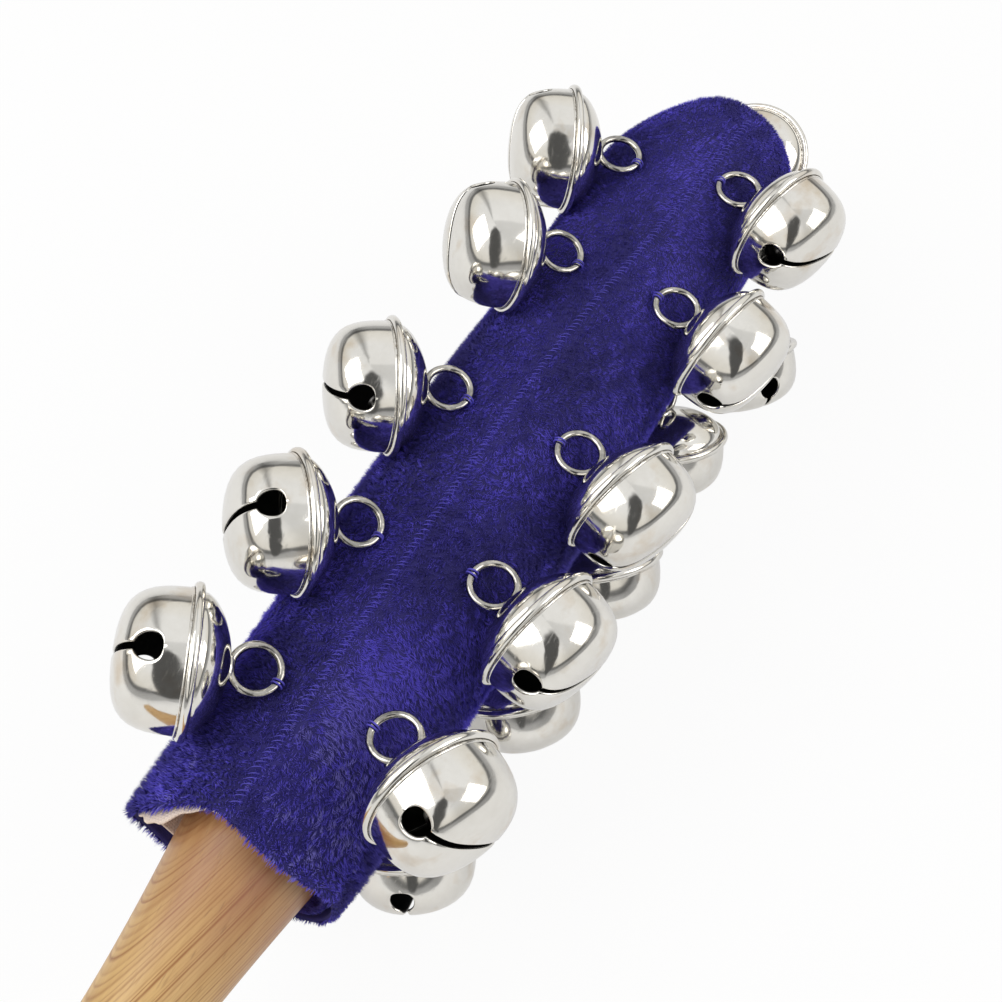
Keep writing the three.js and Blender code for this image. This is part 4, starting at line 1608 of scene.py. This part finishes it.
class BELLSTICK_OT_stage(bpy.types.Operator):
    """Set the floor, the camera, the lamps and the studio round them"""

    bl_idname = "bellstick.stage"
    bl_label = "Floor, Camera and Light"

    def execute(self, context):
        scene = context.scene
        stage = scene.bell_stick_stage
        floor_at = cad_box[0][2] - stage.floor_gap
        step = np.linspace(-FLOOR_HALF, FLOOR_HALF, FLOOR_POINTS)
        across, along = np.meshgrid(step + 0.15, step)
        points = np.stack([across, along, np.full(across.shape, floor_at)], -1).reshape(-1, 3)
        mesh = fill_mesh("floor", points, grid_faces(FLOOR_POINTS, FLOOR_POINTS, False, False))
        mesh.materials.append(floor_material(stage))
        floor = bpy.data.objects.new("floor", mesh)
        scene.collection.objects.link(floor)
        self.add_camera(scene, stage)
        self.add_lamp("window_lamp", (-0.25, 0.45, 0.75), size=0.80, power=5.6, tint=(1.0, 0.985, 0.96))
        self.add_lamp("front_lamp", (0.45, -0.80, 0.60), size=0.60, power=3.4, tint=(1.0, 0.97, 0.93))
        self.studio(scene)
        scene.view_settings.view_transform = "Standard"
        return {"FINISHED"}

    def add_camera(self, scene, stage):
        """The camera at the photo's place."""
        data = bpy.data.cameras.new("camera")
        data.lens = stage.lens
        data.sensor_width = 36
        data.clip_start = 0.005
        camera = bpy.data.objects.new("camera", data)
        scene.collection.objects.link(camera)
        stand(camera, stage.eye, stage.aim)
        scene.camera = camera

    def add_lamp(self, name, place, size, power, tint):
        """A square lamp that looks at the middle of the sleeve."""
        data = bpy.data.lights.new(name, "AREA")
        data.size = size
        data.energy = power
        data.color = tint
        lamp = bpy.data.objects.new(name, data)
        bpy.context.scene.collection.objects.link(lamp)
        stand(lamp, place, LAMP_AIM)

    def studio(self, scene):
        """White to the camera; a soft even light; bands of pale and dark wall that only the metal mirrors."""
        world = bpy.data.worlds.new("studio")
        scene.world = world
        world.use_nodes = True
        tree = world.node_tree
        tree.nodes.clear()
        path = add_node(tree, "ShaderNodeLightPath").outputs
        toward = add_node(tree, "ShaderNodeTexCoord").outputs["Generated"]
        height = add_node(tree, "ShaderNodeSeparateXYZ", {"Vector": toward}).outputs["Z"]
        walls = ramp(tree, height, WALLS)
        round_about = add_node(tree, "ShaderNodeTexGradient", {"Vector": toward}, gradient_type="RADIAL")
        strips = ramp(tree, round_about.outputs["Fac"], grey_stops(*STRIPS))
        banded = multiply_colour(tree, walls, strips)
        shape = self.dark_shape(tree, toward, scene.bell_stick_stage)
        room = mix_colour(tree, shape, banded, grey(0.10))
        even = add_node(tree, "ShaderNodeBackground", {"Color": (1, 1, 1, 1), "Strength": 0.55})
        shown = add_node(tree, "ShaderNodeBackground", {"Color": (1, 1, 1, 1), "Strength": 1.0})
        metal = add_node(tree, "ShaderNodeBackground", {"Color": room, "Strength": 1.0})
        first = add_node(
            tree,
            "ShaderNodeMixShader",
            {0: path["Is Glossy Ray"], 1: even.outputs["Background"], 2: metal.outputs["Background"]},
        )
        second = add_node(
            tree,
            "ShaderNodeMixShader",
            {0: path["Is Camera Ray"], 1: first.outputs["Shader"], 2: shown.outputs["Background"]},
        )
        out = tree.nodes.new("ShaderNodeOutputWorld")
        tree.links.new(second.outputs["Shader"], out.inputs["Surface"])

    def dark_shape(self, tree, toward, stage):
        """Mask of a dark shape in the room opposite the object: an ellipse with a wavy edge."""
        ahead = (Vector(stage.aim) - Vector(stage.eye)).normalized()
        right = ahead.cross(Vector((0, 0, 1))).normalized()
        above = right.cross(ahead)
        edge = noise(tree, toward, 3.2, 2.0)
        total = calc(tree, "MULTIPLY_ADD", edge, 0.9, -0.45)
        for way, half, middle in ((right, 0.23, 0.03), (above, 0.58, -0.20)):
            share = calc(tree, "DIVIDE", calc(tree, "ADD", dot(tree, toward, way), -middle), half)
            total = calc(tree, "ADD", total, calc(tree, "MULTIPLY", share, share))
        inside = spread(tree, total, 1.12, 0.88)
        front = calc(tree, "GREATER_THAN", dot(tree, toward, -ahead), 0.0)
        return calc(tree, "MULTIPLY", inside, front)


class BELLSTICK_PT_panel(bpy.types.Panel):
    """Lists the steps that build the bell stick and the sizes they use"""

    bl_idname = "BELLSTICK_PT_panel"
    bl_label = "Sleigh Bell Stick"
    bl_space_type = "VIEW_3D"
    bl_region_type = "UI"
    bl_category = "Sleigh Bells"

    def draw(self, context):
        for step in STEPS:
            self.layout.operator(step.bl_idname)
        for name, kind in SETTINGS:
            box = self.layout.box()
            group = getattr(context.scene, name)
            for key in kind.__annotations__:
                box.prop(group, key)


STEPS = (BELLSTICK_OT_stage, BELLSTICK_OT_handle, BELLSTICK_OT_sleeve, BELLSTICK_OT_bells)
SETTINGS = (
    ("bell_stick_handle", HandleSettings),
    ("bell_stick_sleeve", SleeveSettings),
    ("bell_stick_bells", BellSettings),
    ("bell_stick_stage", StageSettings),
)


def register():
    """Adds the settings, the steps and the panel."""
    for _, kind in SETTINGS:
        bpy.utils.register_class(kind)
    for name, kind in SETTINGS:
        setattr(bpy.types.Scene, name, PointerProperty(type=kind))
    for step in STEPS:
        bpy.utils.register_class(step)
    bpy.utils.register_class(BELLSTICK_PT_panel)


def unregister():
    """Removes the panel, the steps and the settings."""
    bpy.utils.unregister_class(BELLSTICK_PT_panel)
    for step in reversed(STEPS):
        bpy.utils.unregister_class(step)
    for name, kind in reversed(SETTINGS):
        delattr(bpy.types.Scene, name)
        bpy.utils.unregister_class(kind)


def main():
    """Builds the stick."""
    register()
    bpy.ops.bellstick.stage()
    bpy.ops.bellstick.handle()
    bpy.ops.bellstick.sleeve()
    bpy.ops.bellstick.bells()


if __name__ == "__main__":
    main()
